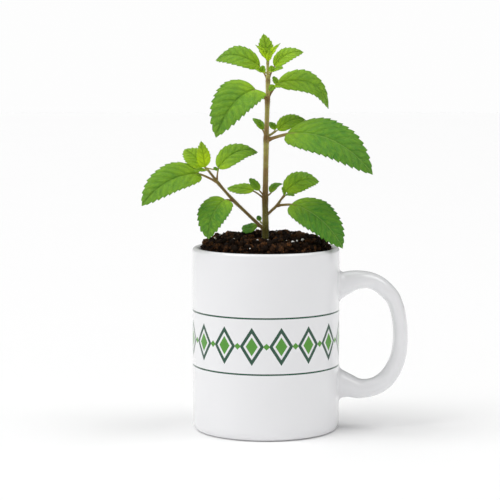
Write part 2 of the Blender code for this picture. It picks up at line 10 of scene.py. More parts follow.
import bmesh
import bpy
import numpy as np
from bpy.props import FloatProperty, FloatVectorProperty, IntProperty, PointerProperty
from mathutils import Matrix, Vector


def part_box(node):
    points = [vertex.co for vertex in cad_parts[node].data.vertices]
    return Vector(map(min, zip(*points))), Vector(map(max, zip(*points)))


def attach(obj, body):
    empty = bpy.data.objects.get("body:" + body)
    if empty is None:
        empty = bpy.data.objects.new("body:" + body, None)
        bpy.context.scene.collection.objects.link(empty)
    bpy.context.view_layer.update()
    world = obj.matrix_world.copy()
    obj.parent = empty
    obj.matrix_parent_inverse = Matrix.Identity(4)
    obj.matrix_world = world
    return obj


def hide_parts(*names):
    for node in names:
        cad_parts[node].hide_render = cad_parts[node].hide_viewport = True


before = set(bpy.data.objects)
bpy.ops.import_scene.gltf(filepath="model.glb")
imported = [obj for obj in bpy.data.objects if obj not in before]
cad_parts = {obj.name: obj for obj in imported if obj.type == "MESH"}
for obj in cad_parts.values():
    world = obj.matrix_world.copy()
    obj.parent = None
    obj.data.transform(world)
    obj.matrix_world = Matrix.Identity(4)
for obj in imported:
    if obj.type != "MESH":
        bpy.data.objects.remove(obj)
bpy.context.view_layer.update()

bl_info = {
    "name": "Potted Basil",
    "version": (1, 0, 0),
    "blender": (4, 5, 0),
    "location": "3D View > Sidebar > Potted Basil",
    "description": "Builds the finished pieces of a holy basil plant in its mug",
    "category": "Object",
}

MUG_LOW, MUG_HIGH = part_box("mug")
SOIL_LOW, SOIL_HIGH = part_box("soil")
WHITE = (1.0, 1.0, 1.0, 1.0)
PER_SQUARE_CENTIMETRE = 1e4

# Mug: its corners, and the foot's curve as (radius, height) from the wall inwards
MUG_SEGMENTS = 224
INSIDE_CORNER = 0.0060
WALL_ROW = 0.0016
MUG_FLOOR = 0.0060
FOOT_CURVE = ((0.0410, 0.0052), (0.0408, 0.0031), (0.0401, 0.0013), (0.0392, 0.0004), (0.0378, 0.0))
RING_INSIDE = 0.0305
RECESS_RADIUS = 0.0297
RECESS_DEPTH = 0.0006

# Handle: (distance from the axis, height, half the thickness) along its middle line
HANDLE_ROUTE = (
    (0.0392, 0.0804, 0.0085),
    (0.0440, 0.0816, 0.0065),
    (0.0482, 0.0830, 0.0056),
    (0.0535, 0.0836, 0.0049),
    (0.0585, 0.0830, 0.0045),
    (0.0636, 0.0806, 0.0045),
    (0.0687, 0.0760, 0.0044),
    (0.0716, 0.0718, 0.0042),
    (0.0739, 0.0648, 0.0041),
    (0.07525, 0.0532, 0.0041),
    (0.0744, 0.0420, 0.0043),
    (0.0716, 0.0338, 0.0045),
    (0.0676, 0.0278, 0.0048),
    (0.0626, 0.0241, 0.0048),
    (0.0572, 0.0224, 0.0049),
    (0.0517, 0.0222, 0.0054),
    (0.0458, 0.0238, 0.0064),
    (0.0392, 0.0251, 0.0092),
)
HANDLE_BREADTHS = ((0.0392, 0.95), (0.0540, 1.50))
HANDLE_STEPS = 22
HANDLE_SIDES = 56
HANDLE_FILLET = 0.0020
HANDLE_ROUNDNESS = 0.88

# Printed band: its middle as a share of the mug's height, half the height of its lozenges, how
# many stand round the mug, half the thickness of a rule, and how far off the wall the print is
# still seen. As shares of half a lozenge: how high the rules lie, the outside and inside of its
# outline, its heart, and the beads between two lozenges.
BAND_PLACE = 0.51
BAND_HALF_HEIGHT = 0.0125
BAND_COUNT = 16.0
BAND_RULE = 0.00045
BAND_REACH = 0.0003
RULE_HEIGHT = 1.22
LOZENGE_OUTSIDE = 0.83
LOZENGE_INSIDE = 0.58
LOZENGE_HEART = 0.41
BEAD_SIZE = 0.24

# Soil: a low heap, hollow round the stem
SOIL_EDGE = 0.1000
SOIL_HOLLOW = 0.0060
SOIL_HOLLOW_RADIUS = 0.0090
SOIL_HOLLOW_CENTRE = (-0.0005, -0.0080)
SOIL_RINGS = 44
SOIL_SIDES = 128
SOIL_UNDER_CRUMBS = 0.0006
CRUMB_REACH = 0.0344

# Beds of lumps: how many on each square centimetre, their least and greatest radius as a share
# of the crumb radius, seed, roughness, rise above the soil, reach beyond the coarse crumbs, and
# rounds of subdivision. PERLITE_BED's density is a factor of the setting, and its radii are metres.
Bed = namedtuple("Bed", "density smallest largest seed roughness rise beyond rounds")
CRUMB_BEDS = (
    Bed(11.0, 0.45, 1.00, 11, 0.0044, 0.0018, 0.0, 2),
    Bed(24.0, 0.22, 0.52, 23, 0.0026, 0.0009, 0.0014, 2),
    Bed(60.0, 0.08, 0.24, 37, 0.0010, 0.0014, 0.0024, 1),
)
PERLITE_BED = Bed(1.0, 0.00025, 0.0010, 5, 0.0010, 0.0023, 0.0, 2)
SCATTER_INPUTS = {
    "Geometry": "Geometry",
    "Density": "Float",
    "Smallest": "Float",
    "Largest": "Float",
    "Seed": "Int",
    "Roughness": "Float",
    "Rounds": "Int",
    "Material": "Material",
}

# Stems: (x, y, z, radius) from the root end up, swollen where leaves stand
MAIN_STEM = (
    (-0.0005, -0.0030, 0.0820, 0.0018),
    (-0.0005, -0.0030, 0.0980, 0.00195),
    (-0.0004, -0.0030, 0.1060, 0.00190),
    (-0.0003, -0.0030, 0.1150, 0.00190),
    (-0.0005, -0.0030, 0.1240, 0.00175),
    (-0.0005, -0.0030, 0.1289, 0.00190),
    (-0.0004, -0.0030, 0.1335, 0.00162),
    (-0.0002, -0.0030, 0.1460, 0.00155),
    (0.0000, -0.0030, 0.1575, 0.00160),
    (0.0001, -0.0030, 0.1618, 0.00182),
    (0.0002, -0.0030, 0.1660, 0.00145),
    (0.0005, -0.0030, 0.1760, 0.00130),
    (0.0007, -0.0030, 0.1841, 0.00158),
    (0.0008, -0.0030, 0.1875, 0.00118),
    (0.0010, -0.0030, 0.1942, 0.00140),
    (0.0010, -0.0030, 0.1975, 0.00095),
    (0.0008, -0.0030, 0.2030, 0.00080),
)
LEFT_BRANCH = (
    (-0.0005, -0.0032, 0.1116, 0.00105),
    (-0.0035, -0.0034, 0.1142, 0.00105),
    (-0.0080, -0.0041, 0.1185, 0.00095),
    (-0.0130, -0.0050, 0.1234, 0.00090),
    (-0.0178, -0.0060, 0.1281, 0.00105),
    (-0.0225, -0.0075, 0.1334, 0.00082),
    (-0.0267, -0.0090, 0.1385, 0.00100),
    (-0.0290, -0.0097, 0.1416, 0.00074),
    (-0.0318, -0.0105, 0.1452, 0.00070),
)
RIGHT_BRANCH = (
    (-0.0003, -0.0030, 0.1192, 0.00080),
    (0.0020, -0.0034, 0.1215, 0.00080),
    (0.0059, -0.0040, 0.1253, 0.00085),
    (0.0082, -0.0034, 0.1285, 0.00065),
    (0.0098, -0.0030, 0.1302, 0.00060),
)
STEMS = {"main": MAIN_STEM, "left": LEFT_BRANCH, "right": RIGHT_BRANCH}
STEM_SIDES = 32
STEM_STEPS = 10
STEM_SQUARENESS = 0.085
STREAK_SCALE = (3200.0, 3200.0, 190.0)

# Each stem's node, route, blush and age, where its skin doesn't go by height, and hair seed
STEM_PIECES = (
    ("main_stem", MAIN_STEM, None, None, 3),
    ("left_branch", LEFT_BRANCH, 0.65, 0.55, 5),
    ("right_branch", RIGHT_BRANCH, 0.60, 0.50, 7),
)
HAIR_DENSITY = 320.0
SHORTEST_HAIR = 0.4
HAIR_WAVINESS = 0.0001

# Skin of the main stem and of what grows from a stem, by height:
# (height, share of brown blush, share of dark age)
SKIN_BY_HEIGHT = (
    (0.1000, 0.00, 0.82),
    (0.1072, 0.00, 0.78),
    (0.1117, 0.20, 0.92),
    (0.1172, 0.00, 0.66),
    (0.1228, 0.45, 0.76),
    (0.1289, 0.90, 0.76),
    (0.1339, 0.75, 0.54),
    (0.1394, 0.75, 0.42),
    (0.1478, 0.55, 0.35),
    (0.1535, 0.40, 0.33),
    (0.1585, 0.10, 0.30),
    (0.1625, 0.95, 0.48),
    (0.1660, 0.60, 0.40),
    (0.1725, 0.40, 0.24),
    (0.1785, 0.25, 0.26),
    (0.1841, 0.90, 0.45),
    (0.1880, 0.00, 0.02),
    (0.1915, 0.05, 0.05),
    (0.1942, 0.80, 0.30),
    (0.1965, 0.05, 0.00),
    (0.2060, 0.00, 0.00),
)

# Leaves. Each blade runs from its heel, where the petiole ends, to its tip, with its upper
# side towards face, its middle raised by lift and bowed sideways by bend. Tone runs from 0,
# deep green, past 1, the palest young leaf, and fullness from 0.5, a round heel, to 1, a wedge.
# Fold is the rise to both sides of the midrib, lobe how far the heel's corners reach back past
# it, and a greater taper draws the tip out longer.
# Tones past 1 are partly painted light: the young leaves that face forward are paler than their own
# green, for the light they miss and the light that shines through them
Blade = namedtuple(
    "Blade",
    "heel tip face width lift bend teeth tone fullness fold lobe taper",
    defaults=(0.50, 0.34, 0.12, 0.88),
)

# Leaves with a petiole of their own, which leaves its stem at foot_z
Leaf = namedtuple("Leaf", "name stem foot_z blade")
LEAVES = (
    Leaf("leaf_top_left", "main", 0.1944, Blade(
        (-0.0038, 0.0005, 0.2020), (-0.0276, 0.0080, 0.2050), (-0.15, -0.73, 0.66),
        0.0130, 0.0070, -0.0005, 8, 0.52)),
    Leaf("leaf_top_right", "main", 0.1944, Blade(
        (0.0047, -0.0045, 0.2023), (0.0203, -0.0030, 0.2094), (-0.23, -0.70, 0.67),
        0.0100, 0.0030, -0.0005, 7, 0.72)),
    Leaf("leaf_upper_left", "main", 0.1836, Blade(
        (-0.0060, -0.0095, 0.1890), (-0.0271, -0.0310, 0.1640), (-0.03, -0.74, 0.67),
        0.0222, 0.0065, 0.0015, 11, 0.40, 0.46, 0.55, 0.34)),
    Leaf("leaf_upper_right", "main", 0.1843, Blade(
        (0.0070, 0.0010, 0.1925), (0.0344, 0.0075, 0.1785), (0.46, -0.63, 0.62),
        0.0160, 0.0087, -0.0018, 9, 0.50)),
    Leaf("leaf_middle_right", "main", 0.1614, Blade(
        (0.0118, -0.0055, 0.1649), (0.0576, -0.0190, 0.1434), (0.16, -0.64, 0.75),
        0.0290, 0.0090, -0.0008, 13, 0.24, 0.50, 0.34, 0.16)),
    Leaf("leaf_middle_left_small", "main", 0.1628, Blade(
        (-0.0019, 0.0015, 0.1670), (-0.0070, 0.0075, 0.1728), (0.29, -0.47, 0.83),
        0.0053, 0.0014, -0.0004, 4, 0.45)),
    Leaf("leaf_lower_right_small", "main", 0.1298, Blade(
        (0.0029, 0.0018, 0.1322), (0.0092, 0.0068, 0.1362), (-0.23, -0.41, 0.88),
        0.0052, 0.0019, -0.0003, 4, 0.30)),
    Leaf("leaf_lower_left_long", "main", 0.1287, Blade(
        (-0.0071, 0.0012, 0.1330), (-0.0215, 0.0095, 0.1338), (-0.25, -0.46, 0.85),
        0.0090, 0.0006, 0.0, 6, 0.62)),
    Leaf("leaf_lower_left_small", "main", 0.1300, Blade(
        (-0.0040, -0.0062, 0.1341), (-0.0095, -0.0070, 0.1402), (0.56, -0.70, 0.44),
        0.0055, -0.0002, 0.0004, 4, 0.40)),
    Leaf("leaf_lower_right", "right", 0.1292, Blade(
        (0.0111, 0.0012, 0.1327), (0.0296, 0.0098, 0.1374), (0.15, -0.71, 0.69),
        0.0124, 0.0036, -0.0015, 8, 0.52)),
    Leaf("leaf_rim_right", "right", 0.1253, Blade(
        (0.0142, -0.0090, 0.1262), (0.0414, -0.0206, 0.1032), (0.26, -0.70, 0.66),
        0.0223, 0.0054, -0.0007, 12, 0.16, 0.50, 0.34, 0.16)),
    Leaf("leaf_branch_left", "left", 0.1385, Blade(
        (-0.0369, -0.0120, 0.1433), (-0.0674, -0.0237, 0.1266), (-0.12, -0.70, 0.71),
        0.0199, 0.0052, 0.0014, 11, 0.42, 0.50, 0.44, 0.22)),
    Leaf("leaf_branch_right", "left", 0.1392, Blade(
        (-0.0261, -0.0075, 0.1464), (-0.0048, 0.0027, 0.1542), (0.02, -0.63, 0.77),
        0.0134, 0.0051, -0.0010, 8, 0.50)),
    Leaf("leaf_branch_low", "left", 0.1281, Blade(
        (-0.0227, -0.0130, 0.1290), (-0.0312, -0.0281, 0.1090), (-0.18, -0.75, 0.64),
        0.0166, 0.0028, 0.0018, 9, 0.26, 0.46, 0.40, 0.30)),
    # This leaf's deep tone is painted shade, for the shade it stands in below the leaves above
    Leaf("leaf_base_left", "main", 0.1122, Blade(
        (-0.0050, 0.0020, 0.1132), (-0.0126, 0.0092, 0.1128), (-0.53, -0.51, 0.68),
        0.0067, 0.0002, -0.0019, 4, 0.02)),
)

# Young leaves that stand in one bunch on the short shoot that carries them
Bunch = namedtuple("Bunch", "name stem foot_z top radius blades")
BUNCHES = (
    Bunch("growing_tip", "main", 0.2030, (0.0010, -0.0032, 0.2064), 0.0009, (
        Blade((0.0008, -0.0026, 0.2060), (-0.0015, -0.0006, 0.2197), (0.05, -0.95, 0.2),
              0.0074, 0.0006, 0.0, 6, 0.80, 0.80, 0.34, 0.12, 1.15),
        Blade((0.0004, -0.0040, 0.2052), (-0.0060, -0.0060, 0.2134), (0.55, -0.75, 0.45),
              0.0034, 0.0012, 0.0, 3, 1.35, 0.95, 0.60, 0.12, 1.40),
        Blade((0.0014, -0.0040, 0.2052), (0.0078, -0.0060, 0.2143), (-0.55, -0.75, 0.45),
              0.0034, 0.0012, 0.0, 3, 1.35, 0.95, 0.60, 0.12, 1.40),
        Blade((0.0009, -0.0048, 0.2048), (0.0020, -0.0078, 0.2108), (0.1, -0.90, 0.3),
              0.0028, 0.0003, 0.0, 3, 1.50, 0.85),
        Blade((0.0008, -0.0042, 0.2058), (-0.0006, -0.0064, 0.2122), (0.2, -0.90, 0.3),
              0.0030, 0.0002, 0.0, 3, 1.45, 0.85),
    )),
    Bunch("left_branch_tip", "left", 0.1452, (-0.0332, -0.0109, 0.1466), 0.0008, (
        Blade((-0.0337, -0.0114, 0.1474), (-0.0357, -0.0137, 0.1615), (0.35, -0.93, 0.1),
              0.0073, 0.0011, -0.0004, 7, 1.25, 0.50, 0.34, 0.05, 1.05),
        Blade((-0.0346, -0.0092, 0.1472), (-0.0450, -0.0024, 0.1560), (0.3, -0.85, 0.45),
              0.0120, 0.0016, 0.0, 8, 0.80),
        Blade((-0.0334, -0.0126, 0.1453), (-0.0396, -0.0164, 0.1448), (0.0, -0.5, 0.85),
              0.0036, 0.0006, 0.0, 4, 0.62),
        Blade((-0.0266, -0.0092, 0.1452), (-0.0290, -0.0100, 0.1466), (0.0, -0.8, 0.5),
              0.0014, 0.0002, 0.0, 3, 0.40),
    )),
    Bunch("right_branch_tip", "right", 0.1302, (0.0104, -0.0032, 0.1310), 0.0006, (
        Blade((0.0103, -0.0036, 0.1316), (0.0085, -0.0066, 0.1356), (0.4, -0.8, 0.4),
              0.0026, 0.0004, 0.0, 3, 0.70),
        Blade((0.0111, -0.0038, 0.1311), (0.0155, -0.0076, 0.1308), (0.0, -0.5, 0.85),
              0.0028, 0.0006, 0.0, 3, 0.50),
    )),
    Bunch("top_shoot_right", "main", 0.1986, (0.0030, -0.0066, 0.1990), 0.0005, (
        Blade((0.0036, -0.0070, 0.1994), (0.0092, -0.0112, 0.2008), (0.0, -0.65, 0.75),
              0.0040, 0.0006, 0.0, 4, 0.70),
        Blade((0.0028, -0.0074, 0.1994), (0.0027, -0.0100, 0.2025), (0.0, -0.8, 0.5),
              0.0028, 0.0003, 0.0, 3, 0.85),
    )),
    Bunch("top_shoot_left", "main", 0.1984, (-0.0020, -0.0062, 0.1988), 0.0005, (
        Blade((-0.0023, -0.0066, 0.1990), (-0.0014, -0.0092, 0.2024), (0.0, -0.85, 0.4),
              0.0032, 0.0003, 0.0, 3, 0.75),
        Blade((-0.0027, -0.0068, 0.1990), (-0.0066, -0.0096, 0.2006), (0.0, -0.7, 0.7),
              0.0028, 0.0003, 0.0, 3, 0.85),
    )),
    Bunch("upper_shoot_right", "main", 0.1866, (0.0038, -0.0058, 0.1908), 0.0006, (
        Blade((0.0060, -0.0066, 0.1926), (0.0036, -0.0080, 0.1964), (-0.2, -0.85, 0.5),
              0.0026, 0.0003, 0.0, 3, 0.55),
        Blade((0.0042, -0.0072, 0.1914), (0.0016, -0.0100, 0.1886), (0.2, -0.85, 0.5),
              0.0030, 0.0004, 0.0, 3, 0.60),
        Blade((0.0050, -0.0070, 0.1916), (0.0092, -0.0098, 0.1908), (0.0, -0.75, 0.65),
              0.0034, 0.0004, 0.0, 4, 0.78),
    )),
    Bunch("middle_shoot_right", "main", 0.1632, (0.0052, -0.0002, 0.1662), 0.0007, (
        Blade((0.0068, 0.0006, 0.1670), (0.0216, 0.0062, 0.1722), (0.0, -0.68, 0.73),
              0.0093, 0.0027, -0.0005, 8, 0.58),
        Blade((0.0050, 0.0006, 0.1672), (0.0020, 0.0036, 0.1708), (0.3, -0.85, 0.4),
              0.0036, 0.0005, 0.0, 3, 0.45),
    )),
    Bunch("base_shoot_left", "main", 0.1146, (-0.0032, 0.0006, 0.1158), 0.0005, (
        Blade((-0.0034, 0.0010, 0.1164), (-0.0044, 0.0036, 0.1188), (0.0, -0.8, 0.6),
              0.0024, 0.0002, 0.0, 3, 0.20),
    )),
)

# Every blade's teeth, which point to its tip, and the curl of its margins
CURL = 0.28
TOOTH_LEAST = 0.00032
TOOTH_DEPTH = 0.040
TOOTH_REACH = 0.75
TOOTH_FADES_BELOW = 0.24
TOOTH_CREST = 0.86
TOOTH_BLEND = 0.74
FIRST_TOOTH = 0.045
LAST_TOOTH = 0.95
TOOTH_ROWS = (0.0, 0.08, 0.20, 0.34, 0.48, 0.62, 0.76, 0.86, 0.93)
VEINS_OF_TEETH = 0.70
HEEL_LOBE_ENDS = 0.26
BLADE_COLUMNS = (0.0, 0.02, 0.05, 0.09, 0.14, 0.20, 0.27, 0.35, 0.43, 0.51, 0.59, 0.67, 0.75,
                 0.82, 0.88, 0.93, 0.97, 1.0)
BROAD_BLADE = 0.0100
SMALL_BLADE = 0.0060
NARROWEST = 0.00012
FOLD_ROUNDNESS = 0.03
RIPPLE = 0.010

# Relief of the broadest blade; that of the others is fainter
BROADEST = 0.0290
BLADE_RISE = 0.00012
RIB_WIDTH = 0.00050
RIB_GROOVE = 0.00022
RIB_RIDGE = 0.00042
VEIN_RIDGE = 0.00014

# Petioles, as in the frame, with a swollen foot and a groove along the top
PETIOLE_OF_WIDTH = 0.030
PETIOLE_LEAST = 0.00042
PETIOLE_SWELL = 0.12
PETIOLE_REACH = 0.35
PETIOLE_TRAIL = 0.14
PETIOLE_ARCH = 0.02
PETIOLE_GROOVE = 0.22
PETIOLE_STEPS = 22
BUNCH_SINK = 0.28
PETIOLE_SIDES = 14

# Material slot of petioles and shoots; blades have the first
STALK = 1

# Stage: broad lamps, and the photograph's view with a long lens a metre away
FLOOR_REACH = 6.0
BACKGROUND = (0.985, 0.985, 0.985, 1.0)
SKY_SIDE = (-0.75, -0.60, 0.15)
KEY_PLACE = (-1.0, -0.30, 1.70)
FILL_PLACE = (1.0, -0.10, 1.80)
BACK_PLACE = (-0.45, 1.0, 1.80)
LAMP_BREADTH = math.radians(38.0)
CAMERA_PLACE = (-0.0089, -1.0, 0.2058)
CAMERA_PITCH = math.radians(6.03)
CAMERA_LENS = 130.03
SENSOR = 36.0


# Settings that a user would change


def length_setting(name, description, default):
    return FloatProperty(name=name, description=description, default=default, subtype="DISTANCE")


def colour_setting(name, description, default):
    kind = {"size": 3, "subtype": "COLOR"}
    return FloatVectorProperty(name=name, description=description, default=default, **kind)


def strength_setting(name, description, default):
    return FloatProperty(name=name, description=description, default=default)


class MugSettings(bpy.types.PropertyGroup):
    """Size and finish of the mug."""

    radius: length_setting("Radius", "Outside radius of the mug", -MUG_LOW[0])
    height: length_setting("Height", "Height of the mug", MUG_HIGH[2])
    wall: length_setting("Wall", "Thickness of the mug's wall", 0.0038)
    glaze: colour_setting("Glaze", "Colour of the glaze", (0.87, 0.87, 0.885))
    band_dark: colour_setting(
        "Dark of the band", "Colour of the rules and of the lozenges' outlines", (0.001, 0.064, 0.028)
    )
    band_light: colour_setting(
        "Light of the band", "Colour of the beads and of the lozenges' hearts", (0.070, 0.30, 0.010)
    )


class SoilSettings(bpy.types.PropertyGroup):
    """Grain and colour of the potting soil."""

    heap: length_setting("Heap", "How far the middle of the soil stands above its edge", 0.0064)
    crumb: length_setting("Crumb", "Radius of the largest crumbs", 0.0023)
    perlite: IntProperty(
        name="Perlite", description="Grains of perlite on each square centimetre", default=1
    )
    dark: colour_setting("Dark crumbs", "Colour of the damp crumbs", (0.0095, 0.0042, 0.0017))
    warm: colour_setting(
        "Warm crumbs", "Colour of the bark and fibre in the soil", (0.170, 0.070, 0.024)
    )
    white: colour_setting("White grains", "Colour of the perlite", (0.97, 0.95, 0.90))


class StemSettings(bpy.types.PropertyGroup):
    """Skin and hairs of the stems."""

    fresh: colour_setting("Fresh skin", "Colour of the young green skin", (0.52, 0.48, 0.150))
    blush: colour_setting("Blush", "Colour of the purple-brown blush", (0.36, 0.205, 0.095))
    old: colour_setting("Old skin", "Colour of the skin near the soil", (0.062, 0.052, 0.003))
    hair: length_setting("Hair", "Length of the longest hairs", 0.0008)
    down: colour_setting("Down", "Colour of the hairs", (0.72, 0.72, 0.60))


class LeafSettings(bpy.types.PropertyGroup):
    """Relief and colour of the leaves."""

    thickness: length_setting("Thickness", "Thickness of a blade", 0.00034)
    quilting: length_setting("Quilting", "How far a blade swells between two side veins", 0.00050)
    deep: colour_setting("Deep green", "Colour of the oldest leaves", (0.078, 0.255, 0.028))
    fresh: colour_setting("Fresh green", "Colour of the youngest leaves", (0.42, 0.68, 0.030))
    # New growth is pale young green made paler still with painted light, for the light that the forward
    # young leaves miss and the light that shines through them
    new: colour_setting(
        "New growth", "Colour of the heels of leaves that are still opening", (0.60, 0.88, 0.020)
    )
    cool: colour_setting(
        "Cool green", "Colour that a blade leans to near its tip", (0.085, 0.20, 0.055)
    )
    # Shade is the colour of the painted shade in the valleys and the net, and of the rim's own darker
    # green
    shade: colour_setting("Shade", "Colour of the valleys, the net and the rim", (0.010, 0.055, 0.003))
    vein: colour_setting("Veins", "Colour of the veins", (0.40, 0.64, 0.15))
    below: colour_setting("Underside", "Colour of a blade's underside", (0.22, 0.36, 0.09))
    below_vein: colour_setting(
        "Veins below", "Colour of the veins on the underside", (0.38, 0.50, 0.20)
    )


class StageSettings(bpy.types.PropertyGroup):
    """Floor and light."""

    floor: colour_setting("Floor", "Colour of the floor", (0.96, 0.96, 0.96))
    sky: strength_setting("Sky", "Brightness of the soft light from all round", 0.395)
    slant: strength_setting(
        "Slant", "How much brighter the sky is at the front left than on average", 0.28
    )
    key: strength_setting("Key", "Strength of the main lamp on the left", 1.15)
    fill: strength_setting("Fill", "Strength of the weaker lamp on the right", 1.00)
    back: strength_setting("Back", "Strength of the faint lamp behind", 0.32)


SETTINGS = {
    "basil_mug": MugSettings,
    "basil_soil": SoilSettings,
    "basil_stem": StemSettings,
    "basil_leaf": LeafSettings,
    "basil_stage": StageSettings,
}


# Node trees


class Wire:
    """An output of a node. Python's operators on it make Math nodes."""

    def __init__(self, socket):
        self.socket = socket
        self.tree = socket.id_data

    def math(self, operation, *others):
        inputs = dict(enumerate((self, *others)))
        return add_node(self.tree, "ShaderNodeMath", inputs, operation=operation)[0]

    def __add__(self, other):
        return self.math("ADD", other)

    def __sub__(self, other):
        return self.math("SUBTRACT", other)

    def __mul__(self, other):
        return self.math("MULTIPLY", other)

    def __truediv__(self, other):
        return self.math("DIVIDE", other)

    def __pow__(self, other):
        return self.math("POWER", other)

    def __lt__(self, other):
        return self.math("LESS_THAN", other)

    def __abs__(self):
        return self.math("ABSOLUTE")

    def ramp(self, low, high, to_low=0.0, to_high=1.0):
        """This value moved smoothly from one range to another."""
        inputs = {"Value": self, "From Min": low, "From Max": high, "To Min": to_low, "To Max": to_high}
        made = add_node(self.tree, "ShaderNodeMapRange", inputs, interpolation_type="SMOOTHSTEP")
        return made["Result"]


class Outputs:
    """A node's outputs as wires, by name or number."""

    def __init__(self, node):
        self.node = node

    def __getitem__(self, key):
        return Wire(self.node.outputs[key])


def feed(socket, value):
    """Links a wire to an input, or fills the input with a plain value."""
    if isinstance(value, Wire):
        value.tree.links.new(value.socket, socket)
    else:
        socket.default_value = value


def add_node(tree, kind, inputs=None, **settings):
    """The outputs of a new node with these properties and inputs, by name or number."""
    made = tree.nodes.new(kind)
    for key, value in settings.items():
        setattr(made, key, value)
    for key, value in (inputs or {}).items():
        feed(made.inputs[key], value)
    return Outputs(made)


def blend(tree, share, a, b, mode="MIX"):
    """Colour a with this share of colour b."""
    inputs = {0: share, 6: a, 7: b}
    return add_node(tree, "ShaderNodeMix", inputs, data_type="RGBA", blend_type=mode)[2]


def lightened(tree, colour, factor):
    """A colour multiplied by a number."""
    grey = add_node(tree, "ShaderNodeCombineColor", {0: factor, 1: factor, 2: factor})[0]
    return blend(tree, 1.0, colour, grey, "MULTIPLY")


def opaque(colour):
    return (*colour, 1.0)


def attribute(tree, name, output="Fac"):
    return add_node(tree, "ShaderNodeAttribute", attribute_name=name)[output]


def object_place(tree):
    return add_node(tree, "ShaderNodeTexCoord")["Object"]


def noise(tree, place, scale, detail=3.0, roughness=0.5):
    """Noise about 0.5 with this many waves in a unit of place."""
    inputs = {"Vector": place, "Scale": scale, "Detail": detail, "Roughness": roughness}
    return add_node(tree, "ShaderNodeTexNoise", inputs)[0]


def new_group(name, inputs, outputs):
    """A shader node group: its tree, the wires from its inputs and the sockets of its outputs."""
    tree = bpy.data.node_groups.new(name, "ShaderNodeTree")
    for label, value in inputs.items():
        kind = "NodeSocketColor" if isinstance(value, tuple) else "NodeSocketFloat"
        tree.interface.new_socket(label, in_out="INPUT", socket_type=kind).default_value = value
    for label in outputs:
        kind = "NodeSocketColor" if label == "Colour" else "NodeSocketFloat"
        tree.interface.new_socket(label, in_out="OUTPUT", socket_type=kind)
    leave = tree.nodes.new("NodeGroupOutput")
    return tree, Outputs(tree.nodes.new("NodeGroupInput")), leave.inputs


def use_group(tree, name, **inputs):
    """The outputs of a shared group placed in a material. It is built the first time."""
    made = tree.nodes.new("ShaderNodeGroup")
    made.node_tree = bpy.data.node_groups.get(name) or GROUPS[name]()
    for key, value in inputs.items():
        feed(made.inputs[key.replace("_", " ")], value)
    return Outputs(made)


def mottle_group():
    """Soft lighter and darker patches over a colour."""
    inputs = {"Colour": WHITE, "Scale": 100.0, "Amount": 0.2}
    tree, into, out = new_group("mottle", inputs, ("Colour", "Mask"))
    mask = noise(tree, object_place(tree), into["Scale"])
    light = (mask - 0.5) * into["Amount"] + 1.0
    feed(out["Colour"], lightened(tree, into["Colour"], light))
    feed(out["Mask"], mask)
    return tree


def grain_group():
    """Fine and coarse grain as a height."""
    tree, into, out = new_group("grain", {"Scale": 500.0, "Coarse": 0.4}, ("Height",))
    place = object_place(tree)
    fine = noise(tree, place, into["Scale"], 4.0, 0.6)
    broad = noise(tree, place, into["Scale"] * 0.22)
    feed(out["Height"], broad * into["Coarse"] + fine)
    return tree


def lozenge_group():
    """Masks of a band of lozenges between two rules, printed round a cylinder on Z."""
    inputs = {"Middle": 0.05, "Half height": 0.010, "Count": 24.0, "Rule": 0.0004, "Radius": 0.0412}
    tree, into, out = new_group("lozenge_band", inputs, ("Dark", "Light"))
    place = add_node(tree, "ShaderNodeSeparateXYZ", {0: object_place(tree)})
    x, y = place["X"], place["Y"]
    turns = x.math("ARCTAN2", y * -1.0) / math.tau
    aside = abs((turns * into["Count"]).math("FRACT") - 0.5) * 2.0
    up = abs(place["Z"] - into["Middle"])
    rise = up / into["Half height"]
    lozenge = aside + rise
    outline = (lozenge < LOZENGE_OUTSIDE) - (lozenge < LOZENGE_INSIDE)
    bead = rise * 1.6 - aside + 1.0 < BEAD_SIZE
    rule = abs(up - into["Half height"] * RULE_HEIGHT) < into["Rule"]
    wall = (x * x + y * y).math("SQRT") < into["Radius"]
    feed(out["Dark"], wall * outline.math("MAXIMUM", rule))
    feed(out["Light"], wall * (lozenge < LOZENGE_HEART).math("MAXIMUM", bead))
    return tree


def vein_group():
    """Veins of a blade, their valleys and the net of small cells between: masks of painted shade too.
    """
    outputs = ("Line", "Valley", "Net", "Cell", "Height")
    tree, into, out = new_group("veins", {"Net scale": 1.0}, outputs)
    flat = attribute(tree, "flat", "Vector")
    rib = attribute(tree, "rib")
    phase = (noise(tree, flat, 0.35, 2.0) - 0.5) * 0.22 + attribute(tree, "vein")
    away = abs((phase + 0.5).math("FRACT") - 0.5)
    fade = attribute(tree, "edge").ramp(0.98, 0.60)
    side_vein = away.ramp(0.050, 0.015) * fade * 0.45
    line = side_vein.math("MAXIMUM", rib.ramp(0.00058, 0.00022))
    faint = noise(tree, flat, 0.16, 2.0).ramp(0.30, 0.62, 0.35, 1.0)
    trough = away.ramp(0.32, 0.02) * fade * faint
    valley = trough.math("MAXIMUM", rib.ramp(0.0015, 0.0002))
    warp = add_node(tree, "ShaderNodeTexNoise", {"Vector": flat, "Scale": 0.9})["Color"]
    bent = add_node(tree, "ShaderNodeVectorMath", {0: flat, 1: warp}, operation="ADD")[0]
    inputs = {"Vector": bent, "Scale": into["Net scale"], "Randomness": 0.9}
    gap = add_node(tree, "ShaderNodeTexVoronoi", inputs, feature="DISTANCE_TO_EDGE")["Distance"]
    tint = add_node(tree, "ShaderNodeTexVoronoi", inputs, feature="F1")["Color"]
    cell = add_node(tree, "ShaderNodeSeparateColor", {0: tint})[0]
    height = valley * -0.9 + gap.ramp(0.0, 0.40) * 0.7
    above = attribute(tree, "under") * -1.7 + 1.0
    for label, value in zip(outputs, (line, valley, gap.ramp(0.18, 0.02), cell, height * above)):
        feed(out[label], value)
    return tree


